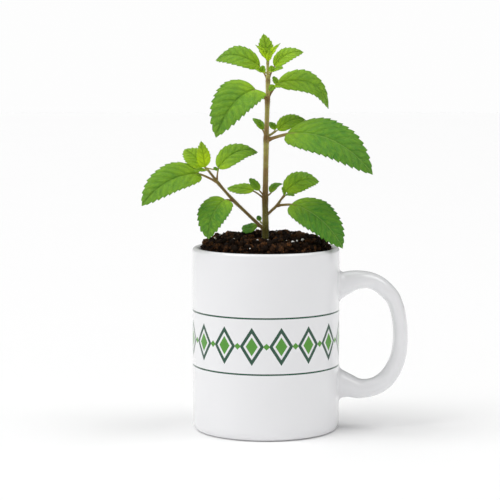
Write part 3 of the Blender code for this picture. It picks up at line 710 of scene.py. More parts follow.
def skin_group():
    """Colour of a stem's skin: fresh, blushed, darker with age and lighter on its ridges."""
    inputs = {"Fresh": WHITE, "Blush": WHITE, "Old": WHITE}
    tree, into, out = new_group("skin", inputs, ("Colour", "Streak"))
    place = object_place(tree)
    drawn_out = add_node(tree, "ShaderNodeMapping", {"Vector": place, "Scale": STREAK_SCALE})[0]
    streak = noise(tree, drawn_out, 1.0, 3.0, 0.6)
    patch = noise(tree, place, 260.0, 2.0)
    blush = attribute(tree, "blush") + (patch - 0.5) + (streak - 0.5) * 0.9
    colour = blend(tree, blush.ramp(0.05, 0.95), into["Fresh"], into["Blush"])
    colour = blend(tree, attribute(tree, "age"), colour, into["Old"])
    light = streak.ramp(0.25, 0.75, 0.72, 1.04) + attribute(tree, "ridge") * 0.34
    feed(out["Colour"], lightened(tree, colour, light))
    feed(out["Streak"], streak)
    return tree


GROUPS = {
    "mottle": mottle_group,
    "grain": grain_group,
    "lozenge_band": lozenge_group,
    "veins": vein_group,
    "skin": skin_group,
}


# Materials


def new_material(name, **values):
    """A material, its tree and its Principled shader, with plain values on the shader."""
    material = bpy.data.materials.new(name)
    material.use_nodes = True
    tree = material.node_tree
    shader = tree.nodes["Principled BSDF"]
    for key, value in values.items():
        shader.inputs[key.replace("_", " ")].default_value = value
    return material, tree, shader


def set_bump(tree, shader, height, distance, strength=1.0):
    inputs = {"Height": height, "Distance": distance, "Strength": strength}
    feed(shader.inputs["Normal"], add_node(tree, "ShaderNodeBump", inputs)["Normal"])


def glaze_material(mug):
    """Glossy white glaze with the printed band under it."""
    values = {"Coat_Weight": 0.35, "Coat_Roughness": 0.06, "IOR": 1.5}
    material, tree, shader = new_material("white_glaze", **values)
    clay = use_group(tree, "mottle", Colour=opaque(mug.glaze), Scale=45.0, Amount=0.02)
    band = use_group(
        tree,
        "lozenge_band",
        Middle=mug.height * BAND_PLACE,
        Half_height=BAND_HALF_HEIGHT,
        Count=BAND_COUNT,
        Rule=BAND_RULE,
        Radius=mug.radius + BAND_REACH,
    )
    colour = blend(tree, band["Dark"], clay["Colour"], opaque(mug.band_dark))
    feed(shader.inputs["Base Color"], blend(tree, band["Light"], colour, opaque(mug.band_light)))
    feed(shader.inputs["Roughness"], clay["Mask"].ramp(0.3, 0.7, 0.20, 0.26))
    set_bump(tree, shader, use_group(tree, "grain", Scale=260.0, Coarse=1.5)["Height"], 0.00002)
    return material


def soil_material(soil):
    """Damp dark crumbs with warmer bits of bark among them."""
    material, tree, shader = new_material("potting_soil", Specular_IOR_Level=0.10)
    damp = use_group(tree, "mottle", Colour=opaque(soil.dark), Scale=900.0, Amount=1.2)
    fleck = damp["Mask"].ramp(0.50, 0.64) * 0.75 + 0.25
    bark = attribute(tree, "shade").ramp(0.45, 1.0) * fleck
    feed(shader.inputs["Base Color"], blend(tree, bark, damp["Colour"], opaque(soil.warm)))
    feed(shader.inputs["Roughness"], damp["Mask"].ramp(0.3, 0.7, 0.62, 0.92))
    set_bump(tree, shader, use_group(tree, "grain", Scale=2600.0, Coarse=1.0)["Height"], 0.00040)
    return material


def perlite_material(soil):
    """White, chalky, pitted grains."""
    material, tree, shader = new_material("perlite", Roughness=0.85, Subsurface_Weight=0.1)
    chalk = use_group(tree, "mottle", Colour=opaque(soil.white), Scale=1500.0, Amount=0.2)
    feed(shader.inputs["Base Color"], chalk["Colour"])
    set_bump(tree, shader, use_group(tree, "grain", Scale=3500.0, Coarse=0.6)["Height"], 0.0002)
    return material


def stem_material(stem):
    """Fluted green skin, blushed purple-brown, darker with age."""
    material, tree, shader = new_material("stem_skin", Specular_IOR_Level=0.08)
    colours = {"Fresh": opaque(stem.fresh), "Blush": opaque(stem.blush), "Old": opaque(stem.old)}
    skin = use_group(tree, "skin", **colours)
    feed(shader.inputs["Base Color"], skin["Colour"])
    feed(shader.inputs["Roughness"], skin["Streak"].ramp(0.3, 0.7, 0.45, 0.62))
    set_bump(tree, shader, skin["Streak"], 0.00006)
    return material


def hair_material(stem):
    """Fine white hairs."""
    material, tree, shader = new_material("stem_hair", Roughness=0.4)
    down = use_group(tree, "mottle", Colour=opaque(stem.down), Scale=800.0, Amount=0.2)
    feed(shader.inputs["Base Color"], down["Colour"])
    return material


def blade_colour(tree, looks, along, patch, cell):
    """Green of a blade between its veins, by the leaf's tone and the place along the blade."""
    heel = along.ramp(0.40, 0.0, 0.0, 0.42)
    tone = attribute(tree, "tone") ** 1.3 + (patch - 0.5) * 0.46 + heel + (cell - 0.5) * 0.20
    body = blend(tree, tone, opaque(looks.deep), opaque(looks.fresh))
    # Painted light in part: blades of tone past 0.85 lean to the new growth colour near their heels
    opening = tone.ramp(0.85, 1.35) * along.ramp(0.90, 0.30)
    body = blend(tree, opening, body, opaque(looks.new))
    cooler = blend(tree, 0.5, body, opaque(looks.cool))
    return blend(tree, along.ramp(0.45, 1.0, 0.0, 0.35), body, cooler)


def leaf_material(name, looks, roughness, net):
    """Green blade: pale veins in valleys of painted shade, a fine net of painted shade between, duller
    below.
    """
    values = {"Subsurface_Weight": 0.10, "Subsurface_Scale": 0.0006, "Specular_IOR_Level": 0.11}
    material, tree, shader = new_material(name, **values)
    shader.inputs["Subsurface Radius"].default_value = (0.6, 1.0, 0.15)
    patch = noise(tree, object_place(tree), 230.0, 4.0, 0.6)
    veins = use_group(tree, "veins", Net_scale=net)
    body = blade_colour(tree, looks, attribute(tree, "along"), patch, veins["Cell"])
    # Painted shade: the valleys, the midrib's crease and the net's sunken lines lean to the shade
    # colour; the rim's darker green is its own colour
    dark = blend(tree, 0.42, body, opaque(looks.shade))
    colour = blend(tree, veins["Net"] * 0.35, body, dark)
    colour = blend(tree, veins["Valley"] * 0.60, colour, dark)
    clear = veins["Line"] * attribute(tree, "tone").ramp(0.55, 0.05, 0.10, 0.62)
    colour = blend(tree, clear, colour, blend(tree, 0.65, body, opaque(looks.vein)))
    colour = blend(tree, attribute(tree, "edge").ramp(0.90, 1.0) * 0.55, colour, dark)
    below = blend(tree, 0.40, body, opaque(looks.below))
    below = blend(tree, veins["Line"] * 0.7, below, opaque(looks.below_vein))
    feed(shader.inputs["Base Color"], blend(tree, attribute(tree, "under"), colour, below))
    feed(shader.inputs["Roughness"], patch.ramp(0.3, 0.7, roughness - 0.05, roughness + 0.07))
    set_bump(tree, shader, veins["Height"], 0.00022, 0.9)
    return material


def floor_material(stage):
    material, tree, shader = new_material("pale_floor", Roughness=0.6, Specular_IOR_Level=0.2)
    pale = use_group(tree, "mottle", Colour=opaque(stage.floor), Scale=6.0, Amount=0.01)
    feed(shader.inputs["Base Color"], pale["Colour"])
    return material


# Meshes


class Form:
    """Points, faces and values on the points, gathered for one mesh."""

    def __init__(self):
        self.points = []
        self.faces = []
        self.slots = []
        self.values = {}
        self.count = 0

    def add(self, points, faces, slot=0, **values):
        """Adds one shell. A value is one number for all its points, or an array."""
        points = np.asarray(points, dtype=float).reshape(-1, 3)
        self.points.append(points)
        self.faces += [tuple(i + self.count for i in face) for face in faces]
        self.slots += [slot] * len(faces)
        for key in set(self.values) | set(values):
            value = np.asarray(values.get(key, 0.0), dtype=float)
            shape = (len(points), 3) if key == "flat" else (len(points),)
            if key not in self.values:
                self.values[key] = [np.zeros((self.count, *shape[1:]))]
            self.values[key].append(np.broadcast_to(value, shape))
        self.count += len(points)

    def mesh(self, materials=()):
        """The mesh, with every shell's faces turned outwards."""
        mesh = bpy.data.meshes.new("form")
        mesh.from_pydata(np.concatenate(self.points).tolist(), [], self.faces)
        mesh.polygons.foreach_set("material_index", self.slots)
        for key, parts in self.values.items():
            data = np.concatenate(parts).astype(np.float32)
            kind, field = ("FLOAT_VECTOR", "vector") if key == "flat" else ("FLOAT", "value")
            mesh.attributes.new(key, kind, "POINT").data.foreach_set(field, data.ravel())
        for material in materials:
            mesh.materials.append(material)
        face_outwards(mesh)
        return mesh


def write_outwards(bm, mesh):
    """Writes bm to the mesh, with every face turned outwards and shaded smooth."""
    bmesh.ops.recalc_face_normals(bm, faces=bm.faces)
    for face in bm.faces:
        face.smooth = True
    bm.to_mesh(mesh)
    bm.free()
    mesh.update()


def face_outwards(mesh, weld=0.0):
    """Turns every face outwards, and first joins points that are closer than weld."""
    bm = bmesh.new()
    bm.from_mesh(mesh)
    if weld:
        bmesh.ops.remove_doubles(bm, verts=bm.verts, dist=weld)
    write_outwards(bm, mesh)


def grid_faces(rows, columns, wrap=False):
    """Faces of a grid of points stored row by row."""
    faces = []
    for i in range(rows - 1):
        for j in range(columns if wrap else columns - 1):
            a = i * columns + j
            b = i * columns + (j + 1) % columns
            faces.append((a, b, b + columns, a + columns))
    return faces


def unit(vectors):
    length = np.linalg.norm(vectors, axis=-1, keepdims=True)
    return vectors / np.maximum(length, 1e-12)


def turns(sides):
    """Angles all round, one for each side."""
    return np.arange(sides) * math.tau / sides


def smoothstep(low, high, value):
    share = np.clip((value - low) / (high - low), 0.0, 1.0)
    return share * share * (3 - 2 * share)


def smooth_route(points, per_span):
    """A Catmull-Rom curve through the points, with any further values on them."""
    rows = np.array([points[0], *points, points[-1]], dtype=float)
    made = []
    for a, b, c, d in zip(rows, rows[1:], rows[2:], rows[3:]):
        for step in range(per_span):
            s = step / per_span
            pull = (c - a) * s + (2 * a - 5 * b + 4 * c - d) * s**2 + (3 * b - a - 3 * c + d) * s**3
            made.append(b + pull / 2)
    made.append(rows[-1])
    return np.array(made)


def path_frames(path, up):
    """(direction, first side, second side) along a path, turned as little as may be."""
    along = unit(np.gradient(path, axis=0))
    sides = []
    side = np.array(up, dtype=float)
    for direction in along:
        side = unit(side - direction * np.dot(side, direction))
        sides.append(side)
    sides = np.array(sides)
    return along, sides, np.cross(along, sides)


def closed_rings(rings, start, end):
    """Points and faces of a tube of rings with a point in the middle of each end."""
    count, sides = rings.shape[:2]
    points = np.concatenate([rings.reshape(-1, 3), [start, end]])
    faces = grid_faces(count, sides, wrap=True)
    last = (count - 1) * sides
    for j in range(sides):
        k = (j + 1) % sides
        faces += [(len(points) - 2, k, j), (len(points) - 1, last + j, last + k)]
    return points, faces


def tube(path, radii, sides, up=(0.0, -1.0, 0.0), section=np.ones_like):
    """Points and faces of a closed tube. section gives the radius's factor at each angle."""
    along, first, second = path_frames(path, up)
    turn = turns(sides)
    out = first[:, None] * np.cos(turn)[None, :, None] + second[:, None] * np.sin(turn)[None, :, None]
    rings = path[:, None] + out * (radii[:, None] * section(turn))[..., None]
    start = path[0] - along[0] * radii[0] * 0.3
    return closed_rings(rings, start, path[-1] + along[-1] * radii[-1] * 0.5)


def capped(values, sides):
    """A value for each ring of a tube, spread over its points and two caps."""
    return np.concatenate([np.repeat(values, sides), values[:1], values[-1:]])


def placed(name, data):
    """A new object in the scene."""
    made = bpy.data.objects.new(name, data)
    bpy.context.scene.collection.objects.link(made)
    return made


def show(name, mesh, nodes=()):
    """Puts a finished mesh in the scene under the root and hides the frame's parts that it stands for.
    """
    mesh.name = name
    piece = placed(name, mesh)
    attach(piece, "root")
    if nodes:
        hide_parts(*nodes)


def baked(obj):
    """The mesh that an object's modifiers make."""
    bpy.context.view_layer.update()
    graph = bpy.context.evaluated_depsgraph_get()
    return bpy.data.meshes.new_from_object(obj.evaluated_get(graph))


def join(meshes, materials):
    """One mesh of several, whose material indexes follow their own lists."""
    bm = bmesh.new()
    for mesh in meshes:
        start = len(bm.faces)
        bm.from_mesh(mesh)
        bm.faces.ensure_lookup_table()
        used = [materials.index(material or materials[0]) for material in mesh.materials]
        for face in bm.faces[start:]:
            face.material_index = used[face.material_index]
    made = bpy.data.meshes.new("joined")
    write_outwards(bm, made)
    for material in materials:
        made.materials.append(material)
    return made


# Geometry node trees


def random_value(tree, low, high, seed):
    """Random numbers, or vectors, between low and high."""
    kind, first = ("FLOAT_VECTOR", 0) if isinstance(low, tuple) else ("FLOAT", 2)
    inputs = {first: low, first + 1: high, "Seed": seed}
    return add_node(tree, "FunctionNodeRandomValue", inputs, data_type=kind)[first // 2]


def scaled(tree, vector, factor):
    inputs = {0: vector, "Scale": factor}
    return add_node(tree, "ShaderNodeVectorMath", inputs, operation="SCALE")[0]


def roughened(tree, geometry, depth):
    """A geometry whose points are pushed about by up to half of depth."""
    place = add_node(tree, "GeometryNodeInputPosition")[0]
    inputs = {"Vector": place, "Scale": 620.0, "Detail": 4.0, "Roughness": 0.65}
    pushes = {0: add_node(tree, "ShaderNodeTexNoise", inputs)["Color"], 1: (0.5, 0.5, 0.5)}
    push = add_node(tree, "ShaderNodeVectorMath", pushes, operation="SUBTRACT")[0]
    inputs = {"Geometry": geometry, "Offset": scaled(tree, push, depth)}
    return add_node(tree, "GeometryNodeSetPosition", inputs)[0]


def scatter_tree(name, shape):
    """Scatters over a surface what shape(tree, entry, facing, size) returns."""
    tree = bpy.data.node_groups.new(name, "GeometryNodeTree")
    for label, kind in SCATTER_INPUTS.items():
        tree.interface.new_socket(label, in_out="INPUT", socket_type="NodeSocket" + kind)
    tree.interface.new_socket("Geometry", in_out="OUTPUT", socket_type="NodeSocketGeometry")
    entry = Outputs(tree.nodes.new("NodeGroupInput"))
    seed = entry["Seed"]
    inputs = {"Mesh": entry["Geometry"], "Density": entry["Density"], "Seed": seed}
    spread = add_node(tree, "GeometryNodeDistributePointsOnFaces", inputs)
    shade = random_value(tree, 0.0, 1.0, seed + 1.0)
    inputs = {"Geometry": spread["Points"], "Name": "shade", "Value": shade}
    kinds = {"data_type": "FLOAT", "domain": "POINT"}
    marked = add_node(tree, "GeometryNodeStoreNamedAttribute", inputs, **kinds)[0]
    size = random_value(tree, entry["Smallest"], entry["Largest"], seed + 2.0)
    mesh, turning, scale = shape(tree, entry, spread["Rotation"], size)
    inputs = {"Points": marked, "Instance": mesh, "Rotation": turning, "Scale": scale}
    instances = add_node(tree, "GeometryNodeInstanceOnPoints", inputs)[0]
    real = add_node(tree, "GeometryNodeRealizeInstances", {0: instances})[0]
    inputs = {"Geometry": roughened(tree, real, entry["Roughness"]), "Material": entry["Material"]}
    painted = add_node(tree, "GeometryNodeSetMaterial", inputs)[0]
    feed(tree.nodes.new("NodeGroupOutput").inputs["Geometry"], painted)
    return tree


def lump_shape(tree, entry, facing, size):
    """A ball of 20 faces or more, turned at random and squeezed a little."""
    inputs = {"Radius": 1.0, "Subdivisions": entry["Rounds"]}
    ball = add_node(tree, "GeometryNodeMeshIcoSphere", inputs)[0]
    turning = random_value(tree, (0.0, 0.0, 0.0), (math.tau, math.tau, math.tau), entry["Seed"])
    squeeze = random_value(tree, (0.62, 0.62, 0.55), (1.15, 1.15, 0.95), entry["Seed"] + 3.0)
    return ball, turning, scaled(tree, squeeze, size)


def hair_shape(tree, entry, facing, size):
    """A thin three-sided cone that stands off the skin."""
    inputs = {"Vertices": 3, "Radius Bottom": 0.045, "Radius Top": 0.008, "Depth": 1.0}
    cone = add_node(tree, "GeometryNodeMeshCone", inputs)[0]
    lean = random_value(tree, (-0.5, -0.5, 0.0), (0.5, 0.5, math.tau), entry["Seed"])
    inputs = {"Rotation": facing, "Rotate By": lean}
    turned = add_node(tree, "FunctionNodeRotateRotation", inputs, rotation_space="LOCAL")
    return cone, turned[0], size


SHAPES = {"scatter_lumps": lump_shape, "scatter_hairs": hair_shape}


def scattered(surface, tree_name, **inputs):
    """A plain mesh of shapes scattered over a surface's mesh."""
    tree = bpy.data.node_groups.get(tree_name) or scatter_tree(tree_name, SHAPES[tree_name])
    holder = placed("scatter", surface)
    modifier = holder.modifiers.new("Scatter", "NODES")
    modifier.node_group = tree
    for item in tree.interface.items_tree:
        if item.in_out == "INPUT" and item.name in inputs:
            modifier[item.identifier] = inputs[item.name]
    mesh = baked(holder)
    holder.modifiers.clear()
    bpy.data.objects.remove(holder)
    return mesh


# Mug


def arc(centre, radius, start, end, steps):
    """Points of a round corner, by its angles in degrees."""
    angles = [math.radians(start + (end - start) * i / steps) for i in range(steps + 1)]
    return [(centre[0] + radius * math.cos(a), centre[1] + radius * math.sin(a)) for a in angles]


def mug_profile(mug):
    """(radius, height) down the inside from its middle, over the lip and back to the middle."""
    inner = mug.radius - mug.wall
    lip = mug.wall / 2
    top = mug.height - lip
    corner = (inner - INSIDE_CORNER, MUG_FLOOR + INSIDE_CORNER)
    foot = [tuple(p) for p in smooth_route(FOOT_CURVE, 4)]
    rows = int((top - foot[0][1]) / WALL_ROW)
    return (
        [(corner[0] * i / 6, MUG_FLOOR) for i in range(6)]
        + arc(corner, INSIDE_CORNER, -90, 0, 8)
        + [(inner, corner[1] + (top - corner[1]) * i / 24) for i in range(1, 24)]
        + arc((mug.radius - lip, top), lip, 180, 0, 20)
        + [(mug.radius, top + (foot[0][1] - top) * i / rows) for i in range(1, rows)]
        + foot
        + [(RING_INSIDE, 0.0), (RECESS_RADIUS + 0.0002, 0.0002), (RECESS_RADIUS, RECESS_DEPTH)]
        + [(RECESS_RADIUS * i / 5, RECESS_DEPTH) for i in range(4, -1, -1)]
    )


def mug_body_mesh(mug):
    """The turned wall, floor and foot of the mug."""
    bm = bmesh.new()
    points = [bm.verts.new((radius, 0.0, height)) for radius, height in mug_profile(mug)]
    edges = [bm.edges.new(pair) for pair in zip(points, points[1:])]
    axis, centre = (0.0, 0.0, 1.0), (0.0, 0.0, 0.0)
    spin = {"angle": math.tau, "steps": MUG_SEGMENTS, "use_merge": True}
    bmesh.ops.spin(bm, geom=points + edges, axis=axis, cent=centre, **spin)
    mesh = bpy.data.meshes.new("mug_body")
    bm.to_mesh(mesh)
    bm.free()
    face_outwards(mesh, weld=1e-6)
    return mesh


def eased(values, reach):
    """Values along a route, each blended with its neighbours up to reach steps away."""
    weights = np.hanning(2 * reach + 3)[1:-1]
    longer = np.pad(values, reach, mode="reflect", reflect_type="odd")
    return np.convolve(longer, weights / weights.sum(), mode="valid")


def flared(mug, rings, out):
    """Rings pushed out near the mug's wall, each point still as far from the mug's axis."""
    distance = np.hypot(rings[..., 0], rings[..., 1])
    away = np.clip(distance - mug.radius, 0.0, HANDLE_FILLET)
    flare = HANDLE_FILLET * (1 - np.sqrt(1 - (1 - away / HANDLE_FILLET) ** 2))
    rings = rings + unit(out) * flare[..., None]
    rings[..., :2] *= (distance / np.hypot(rings[..., 0], rings[..., 1]))[..., None]
    return rings


def handle_mesh(mug):
    """The looped handle, flared where it meets the wall."""
    rows = smooth_route(HANDLE_ROUTE, HANDLE_STEPS)
    rows[:, 2] = eased(rows[:, 2], HANDLE_STEPS)
    path = np.stack([rows[:, 0], np.zeros(len(rows)), rows[:, 1]], axis=1)
    breadth = eased(np.interp(rows[:, 0], *zip(*HANDLE_BREADTHS)), HANDLE_STEPS)
    _, side, across = path_frames(path, (0.0, 1.0, 0.0))
    turn = turns(HANDLE_SIDES)
    wide = np.sign(np.cos(turn)) * np.abs(np.cos(turn)) ** HANDLE_ROUNDNESS
    thick = np.sign(np.sin(turn)) * np.abs(np.sin(turn)) ** HANDLE_ROUNDNESS
    out = (
        side[:, None] * (breadth[:, None] * wide)[..., None] + across[:, None] * thick[None, :, None]
    ) * rows[:, 2][:, None, None]
    form = Form()
    form.add(*closed_rings(flared(mug, path[:, None] + out, out), path[0], path[-1]))
    return form.mesh()


def make_mug(mug):
    body = placed("mug_body", mug_body_mesh(mug))
    handle = placed("mug_handle", handle_mesh(mug))
    modifier = body.modifiers.new("Handle", "BOOLEAN")
    modifier.operation = "UNION"
    modifier.solver = "EXACT"
    modifier.object = handle
    mesh = baked(body)
    for obj in (body, handle):
        bpy.data.objects.remove(obj)
    if not mesh.polygons:
        raise RuntimeError("the mug and its handle didn't join")
    mesh.materials.clear()
    mesh.materials.append(glaze_material(mug))
    face_outwards(mesh)
    show("glazed_mug", mesh, ("mug",))


# Soil


def heap_height(soil, x, y):
    """The smooth surface of the soil."""
    share = np.minimum(1.0, np.hypot(x, y) / SOIL_HIGH[0])
    hollow = np.hypot(x - SOIL_HOLLOW_CENTRE[0], y - SOIL_HOLLOW_CENTRE[1]) / SOIL_HOLLOW_RADIUS
    return SOIL_EDGE + soil.heap * (1 - share**5) - SOIL_HOLLOW * np.exp(-(hollow**2))


def soil_surface(soil, radius, rise):
    """A disc that stands this far above the soil's surface."""
    radii = radius * np.sqrt(np.arange(1, SOIL_RINGS + 1) / SOIL_RINGS)
    turn = turns(SOIL_SIDES)
    x = np.append(radii[:, None] * np.cos(turn), 0.0)
    y = np.append(radii[:, None] * np.sin(turn), 0.0)
    z = heap_height(soil, x, y) + rise
    faces = grid_faces(SOIL_RINGS, SOIL_SIDES, wrap=True)
    faces += [(len(x) - 1, j, (j + 1) % SOIL_SIDES) for j in range(SOIL_SIDES)]
    mesh = bpy.data.meshes.new("soil_surface")
    mesh.from_pydata(np.stack([x, y, z], axis=1).tolist(), [], faces)
    return mesh


def soil_lump(soil, material):
    """The closed body of the soil under its crumbs."""
    mesh = soil_surface(soil, SOIL_HIGH[0], -SOIL_UNDER_CRUMBS)
    bm = bmesh.new()
    bm.from_mesh(mesh)
    rim = [edge for edge in bm.edges if edge.is_boundary]
    made = bmesh.ops.extrude_edge_only(bm, edges=rim)["geom"]
    for vertex in made:
        if isinstance(vertex, bmesh.types.BMVert):
            vertex.co.z = SOIL_LOW[2]
            vertex.co.xy *= 1 - INSIDE_CORNER / SOIL_HIGH[0]
    ring = [item for item in made if isinstance(item, bmesh.types.BMEdge)]
    middle = bmesh.ops.edgeloop_fill(bm, edges=ring)
    bmesh.ops.triangulate(bm, faces=middle["faces"])
    write_outwards(bm, mesh)
    mesh.materials.append(material)
    return mesh


def scatter_bed(soil, bed, density, radius, material):
    """The lumps of a bed, with this many times its density and this many times its radii."""
    return scattered(
        soil_surface(soil, CRUMB_REACH + bed.beyond, bed.rise),
        "scatter_lumps",
        Density=bed.density * density * PER_SQUARE_CENTIMETRE,
        Smallest=bed.smallest * radius,
        Largest=bed.largest * radius,
        Seed=bed.seed,
        Roughness=bed.roughness,
        Rounds=bed.rounds,
        Material=material,
    )


def make_soil(soil):
    earth, white = soil_material(soil), perlite_material(soil)
    beds = [scatter_bed(soil, bed, 1.0, soil.crumb, earth) for bed in CRUMB_BEDS]
    show("soil_crumbs", join([soil_lump(soil, earth), *beds], [earth]), ("soil",))
    grains = scatter_bed(soil, PERLITE_BED, soil.perlite, 1.0, white)
    show("perlite_grains", join([grains], [white]))


# Stems


def stem_axis(stem, height):
    """The point on a stem's middle line at this height; above its end, straight on."""
    rows = STEMS[stem]
    for low, high in zip(rows, rows[1:]):
        if height <= high[2] or high is rows[-1]:
            share = (height - low[2]) / (high[2] - low[2])
            return np.array(Vector(low[:3]).lerp(Vector(high[:3]), share))


def stem_section(turn):
    """A square stem with rounded corners and a shallow flute down each face."""
    return 1 + STEM_SQUARENESS * np.cos(4 * turn + math.pi)


def stem_skin(heights):
    """(blush, age) of the skin at these heights."""
    rows = np.array(SKIN_BY_HEIGHT)
    return np.interp(heights, rows[:, 0], rows[:, 1]), np.interp(heights, rows[:, 0], rows[:, 2])


def stem_mesh(rows, blush, age, skin):
    """A stem's mesh, with its blush and age by height unless they are given."""
    route = smooth_route(rows, STEM_STEPS)
    points, faces = tube(route[:, :3], route[:, 3], STEM_SIDES, section=stem_section)
    by_height = stem_skin(route[:, 2])
    blush = by_height[0] if blush is None else np.full(len(route), blush)
    age = by_height[1] if age is None else np.full(len(route), age)
    ridge = np.tile(0.5 - 0.5 * np.cos(4 * turns(STEM_SIDES)), len(route))
    values = {"blush": capped(blush, STEM_SIDES), "age": capped(age, STEM_SIDES)}
    form = Form()
    form.add(points, faces, ridge=np.append(ridge, (0.5, 0.5)), **values)
    return form.mesh([skin])


def make_stems(stem):
    skin, hair = stem_material(stem), hair_material(stem)
    for name, rows, blush, age, seed in STEM_PIECES:
        mesh = stem_mesh(rows, blush, age, skin)
        hairs = scattered(
            mesh.copy(),
            "scatter_hairs",
            Density=HAIR_DENSITY * PER_SQUARE_CENTIMETRE,
            Smallest=stem.hair * SHORTEST_HAIR,
            Largest=stem.hair,
            Seed=seed,
            Roughness=HAIR_WAVINESS,
            Material=hair,
        )
        show(name + "_skin", join([mesh, hairs], [skin, hair]), (name,))


# Leaves


def midrib(blade, t):
    """(points, directions, normals) of the midrib at an array t, 0 at the heel and 1 at the tip."""
    heel, tip = np.array(blade.heel), np.array(blade.tip)
    chord = tip - heel
    run = unit(chord)
    face = np.array(blade.face)
    up = unit(face - run * np.dot(face, run))
    bow = up * blade.lift + np.cross(run, up) * blade.bend
    t = np.asarray(t, dtype=float)[:, None]
    points = heel + chord * t + bow * 4 * t * (1 - t)
    along = unit(chord + bow * 4 * (1 - 2 * t))
    normal = unit(up - along * np.sum(up * along, axis=1, keepdims=True))
    return points, along, normal


def half_width(blade, t):
    a, b = blade.fullness, blade.taper
    peak = (a / (a + b)) ** a * (b / (a + b)) ** b
    return np.maximum(NARROWEST, blade.width / 2 * t**a * (1 - t) ** b / peak)


def blade_rows(blade):
    """The t of every row: close at both ends, and a fixed set of rows in each tooth."""
    pitch = (LAST_TOOTH - FIRST_TOOTH) / blade.teeth
    rows = [0.0, 0.003, 0.009, 0.018, 0.030]
    for k in range(blade.teeth):
        rows += [FIRST_TOOTH + pitch * (k + p) for p in TOOTH_ROWS]
    return np.array(rows + [LAST_TOOTH, 0.962, 0.974, 0.985, 0.994, 1.0])


def blade_columns(blade):
    """The place of every column, from -1 on one margin to 1 on the other."""
    columns = BLADE_COLUMNS if blade.width > SMALL_BLADE else BLADE_COLUMNS[::2] + (1.0,)
    return [-value for value in columns[:0:-1]] + list(columns)


def tooth_height(blade, t):
    """How far out the margin stands, from 0 in a notch to 1 on a crest."""
    pitch = (LAST_TOOTH - FIRST_TOOTH) / blade.teeth
    phase = np.mod((t - FIRST_TOOTH) / pitch + 1e-9, 1.0)
    inside = (t > FIRST_TOOTH - 1e-9) & (t < LAST_TOOTH - 1e-9)
    rise = (phase / TOOTH_CREST) ** 0.85
    fall = (1 - phase) / (1 - TOOTH_CREST)
    return np.where(inside, np.minimum(rise, fall), 0.0)


def blade_sheet(blade, t, across):
    """A blade's middle surface: bowed, folded, toothed, lobed at its heel and curled."""
    spine, along, normal = midrib(blade, t)
    side = np.cross(along, normal)
    half = half_width(blade, t)[:, None]
    depth = TOOTH_LEAST + TOOTH_DEPTH * blade.width
    fading = np.minimum(1.0, half / (blade.width * TOOTH_FADES_BELOW))
    reach = np.abs(across)
    cut = tooth_height(blade, t)[:, None] * depth * fading * smoothstep(TOOTH_BLEND, 1.0, reach)
    back = blade.lobe * half * (1 - smoothstep(0.0, HEEL_LOBE_ENDS, t))[:, None]
    out = half * reach + cut
    share = np.sqrt(reach**2 + FOLD_ROUNDNESS**2) - FOLD_ROUNDNESS
    rise = half * (blade.fold * share - CURL * reach**2)
    ahead = cut * TOOTH_REACH - back * reach**2
    return (
        spine[:, None]
        + side[:, None] * (np.sign(across) * out)[..., None]
        + along[:, None] * ahead[..., None]
        + normal[:, None] * rise[..., None]
    )


def relief_scale(blade):
    """How bold a blade's relief is, next to that of the broadest blade."""
    return math.sqrt(blade.width / BROADEST)


def blade_relief(blade, looks, rows, across, away, phase):
    """How far a blade's upper and its lower side stand off its middle surface."""
    reach = np.abs(across)
    scale = relief_scale(blade)
    swell = np.abs(np.sin(math.pi * phase)) ** 0.8
    window = smoothstep(0.0, 0.18, reach) * (1 - 0.92 * reach**3)
    window = window * smoothstep(0.0, 0.10, rows) * smoothstep(1.0, 0.85, rows)
    quilt = looks.quilting * scale**1.6 * (swell - 0.4) * window
    ripple = np.sin(math.tau * (2.3 * rows + blade.tone * 3.0 + 0.4 * (across > 0)))
    quilt = quilt + RIPPLE * blade.width * ripple * reach**3 * np.sin(math.pi * rows)
    near = np.exp(-((away / (RIB_WIDTH * max(0.5, scale))) ** 2)) * np.sqrt(1 - rows * 0.9)
    thick = looks.thickness * (1 - 0.55 * reach**6)
    ridge = (1 - swell) * window * VEIN_RIDGE * scale + near * RIB_RIDGE * scale
    above = BLADE_RISE + thick + quilt - near * RIB_GROOVE * scale
    return above, BLADE_RISE + quilt - ridge


def sheet_faces(rows, columns):
    """Faces of two grids that look away from each other, joined all round their rims."""
    faces = grid_faces(rows, columns)
    total = rows * columns
    faces += [tuple(i + total for i in reversed(face)) for face in faces]
    rim = [i * columns for i in range(rows)] + [total - columns + j for j in range(1, columns)]
    rim += [i * columns - 1 for i in range(rows - 1, 0, -1)] + list(range(columns - 2, 0, -1))
    return faces + [(a, b, b + total, a + total) for a, b in zip(rim, rim[1:] + rim[:1])]


def on_both_sides(values):
    """Values of a blade's upper side, repeated for its lower side."""
    return np.concatenate([values, values]).reshape(-1, *values.shape[2:])


def make_blade(form, blade, looks):
    """A closed blade with teeth, quilting between its side veins and a rib below."""
    t = blade_rows(blade)
    rows, across = np.meshgrid(t, blade_columns(blade), indexing="ij")
    sheet = blade_sheet(blade, t, across)
    face = unit(np.cross(np.gradient(sheet, axis=1), np.gradient(sheet, axis=0)))
    away = np.abs(across) * half_width(blade, t)[:, None]
    length = np.linalg.norm(np.array(blade.tip) - np.array(blade.heel))
    veins = max(4.0, blade.teeth * VEINS_OF_TEETH)
    lean = 0.80 * away + 0.30 * away**2 / (blade.width / 2)
    phase = veins * (rows * length - lean) / length + 0.55 + 0.16 * (across > 0)
    relief = blade_relief(blade, looks, rows, across, away, phase)
    flat = np.stack([away * np.sign(across), phase * length / veins, rows * 0.0], axis=-1) * 1e3
    form.add(
        np.concatenate([sheet + face * height[..., None] for height in relief]),
        sheet_faces(*rows.shape),
        vein=on_both_sides(phase),
        edge=on_both_sides(np.abs(across)),
        rib=on_both_sides(away / relief_scale(blade)),
        under=np.repeat((0.0, 1.0), rows.size),
        tone=blade.tone,
        along=on_both_sides(rows),
        flat=on_both_sides(flat),
    )


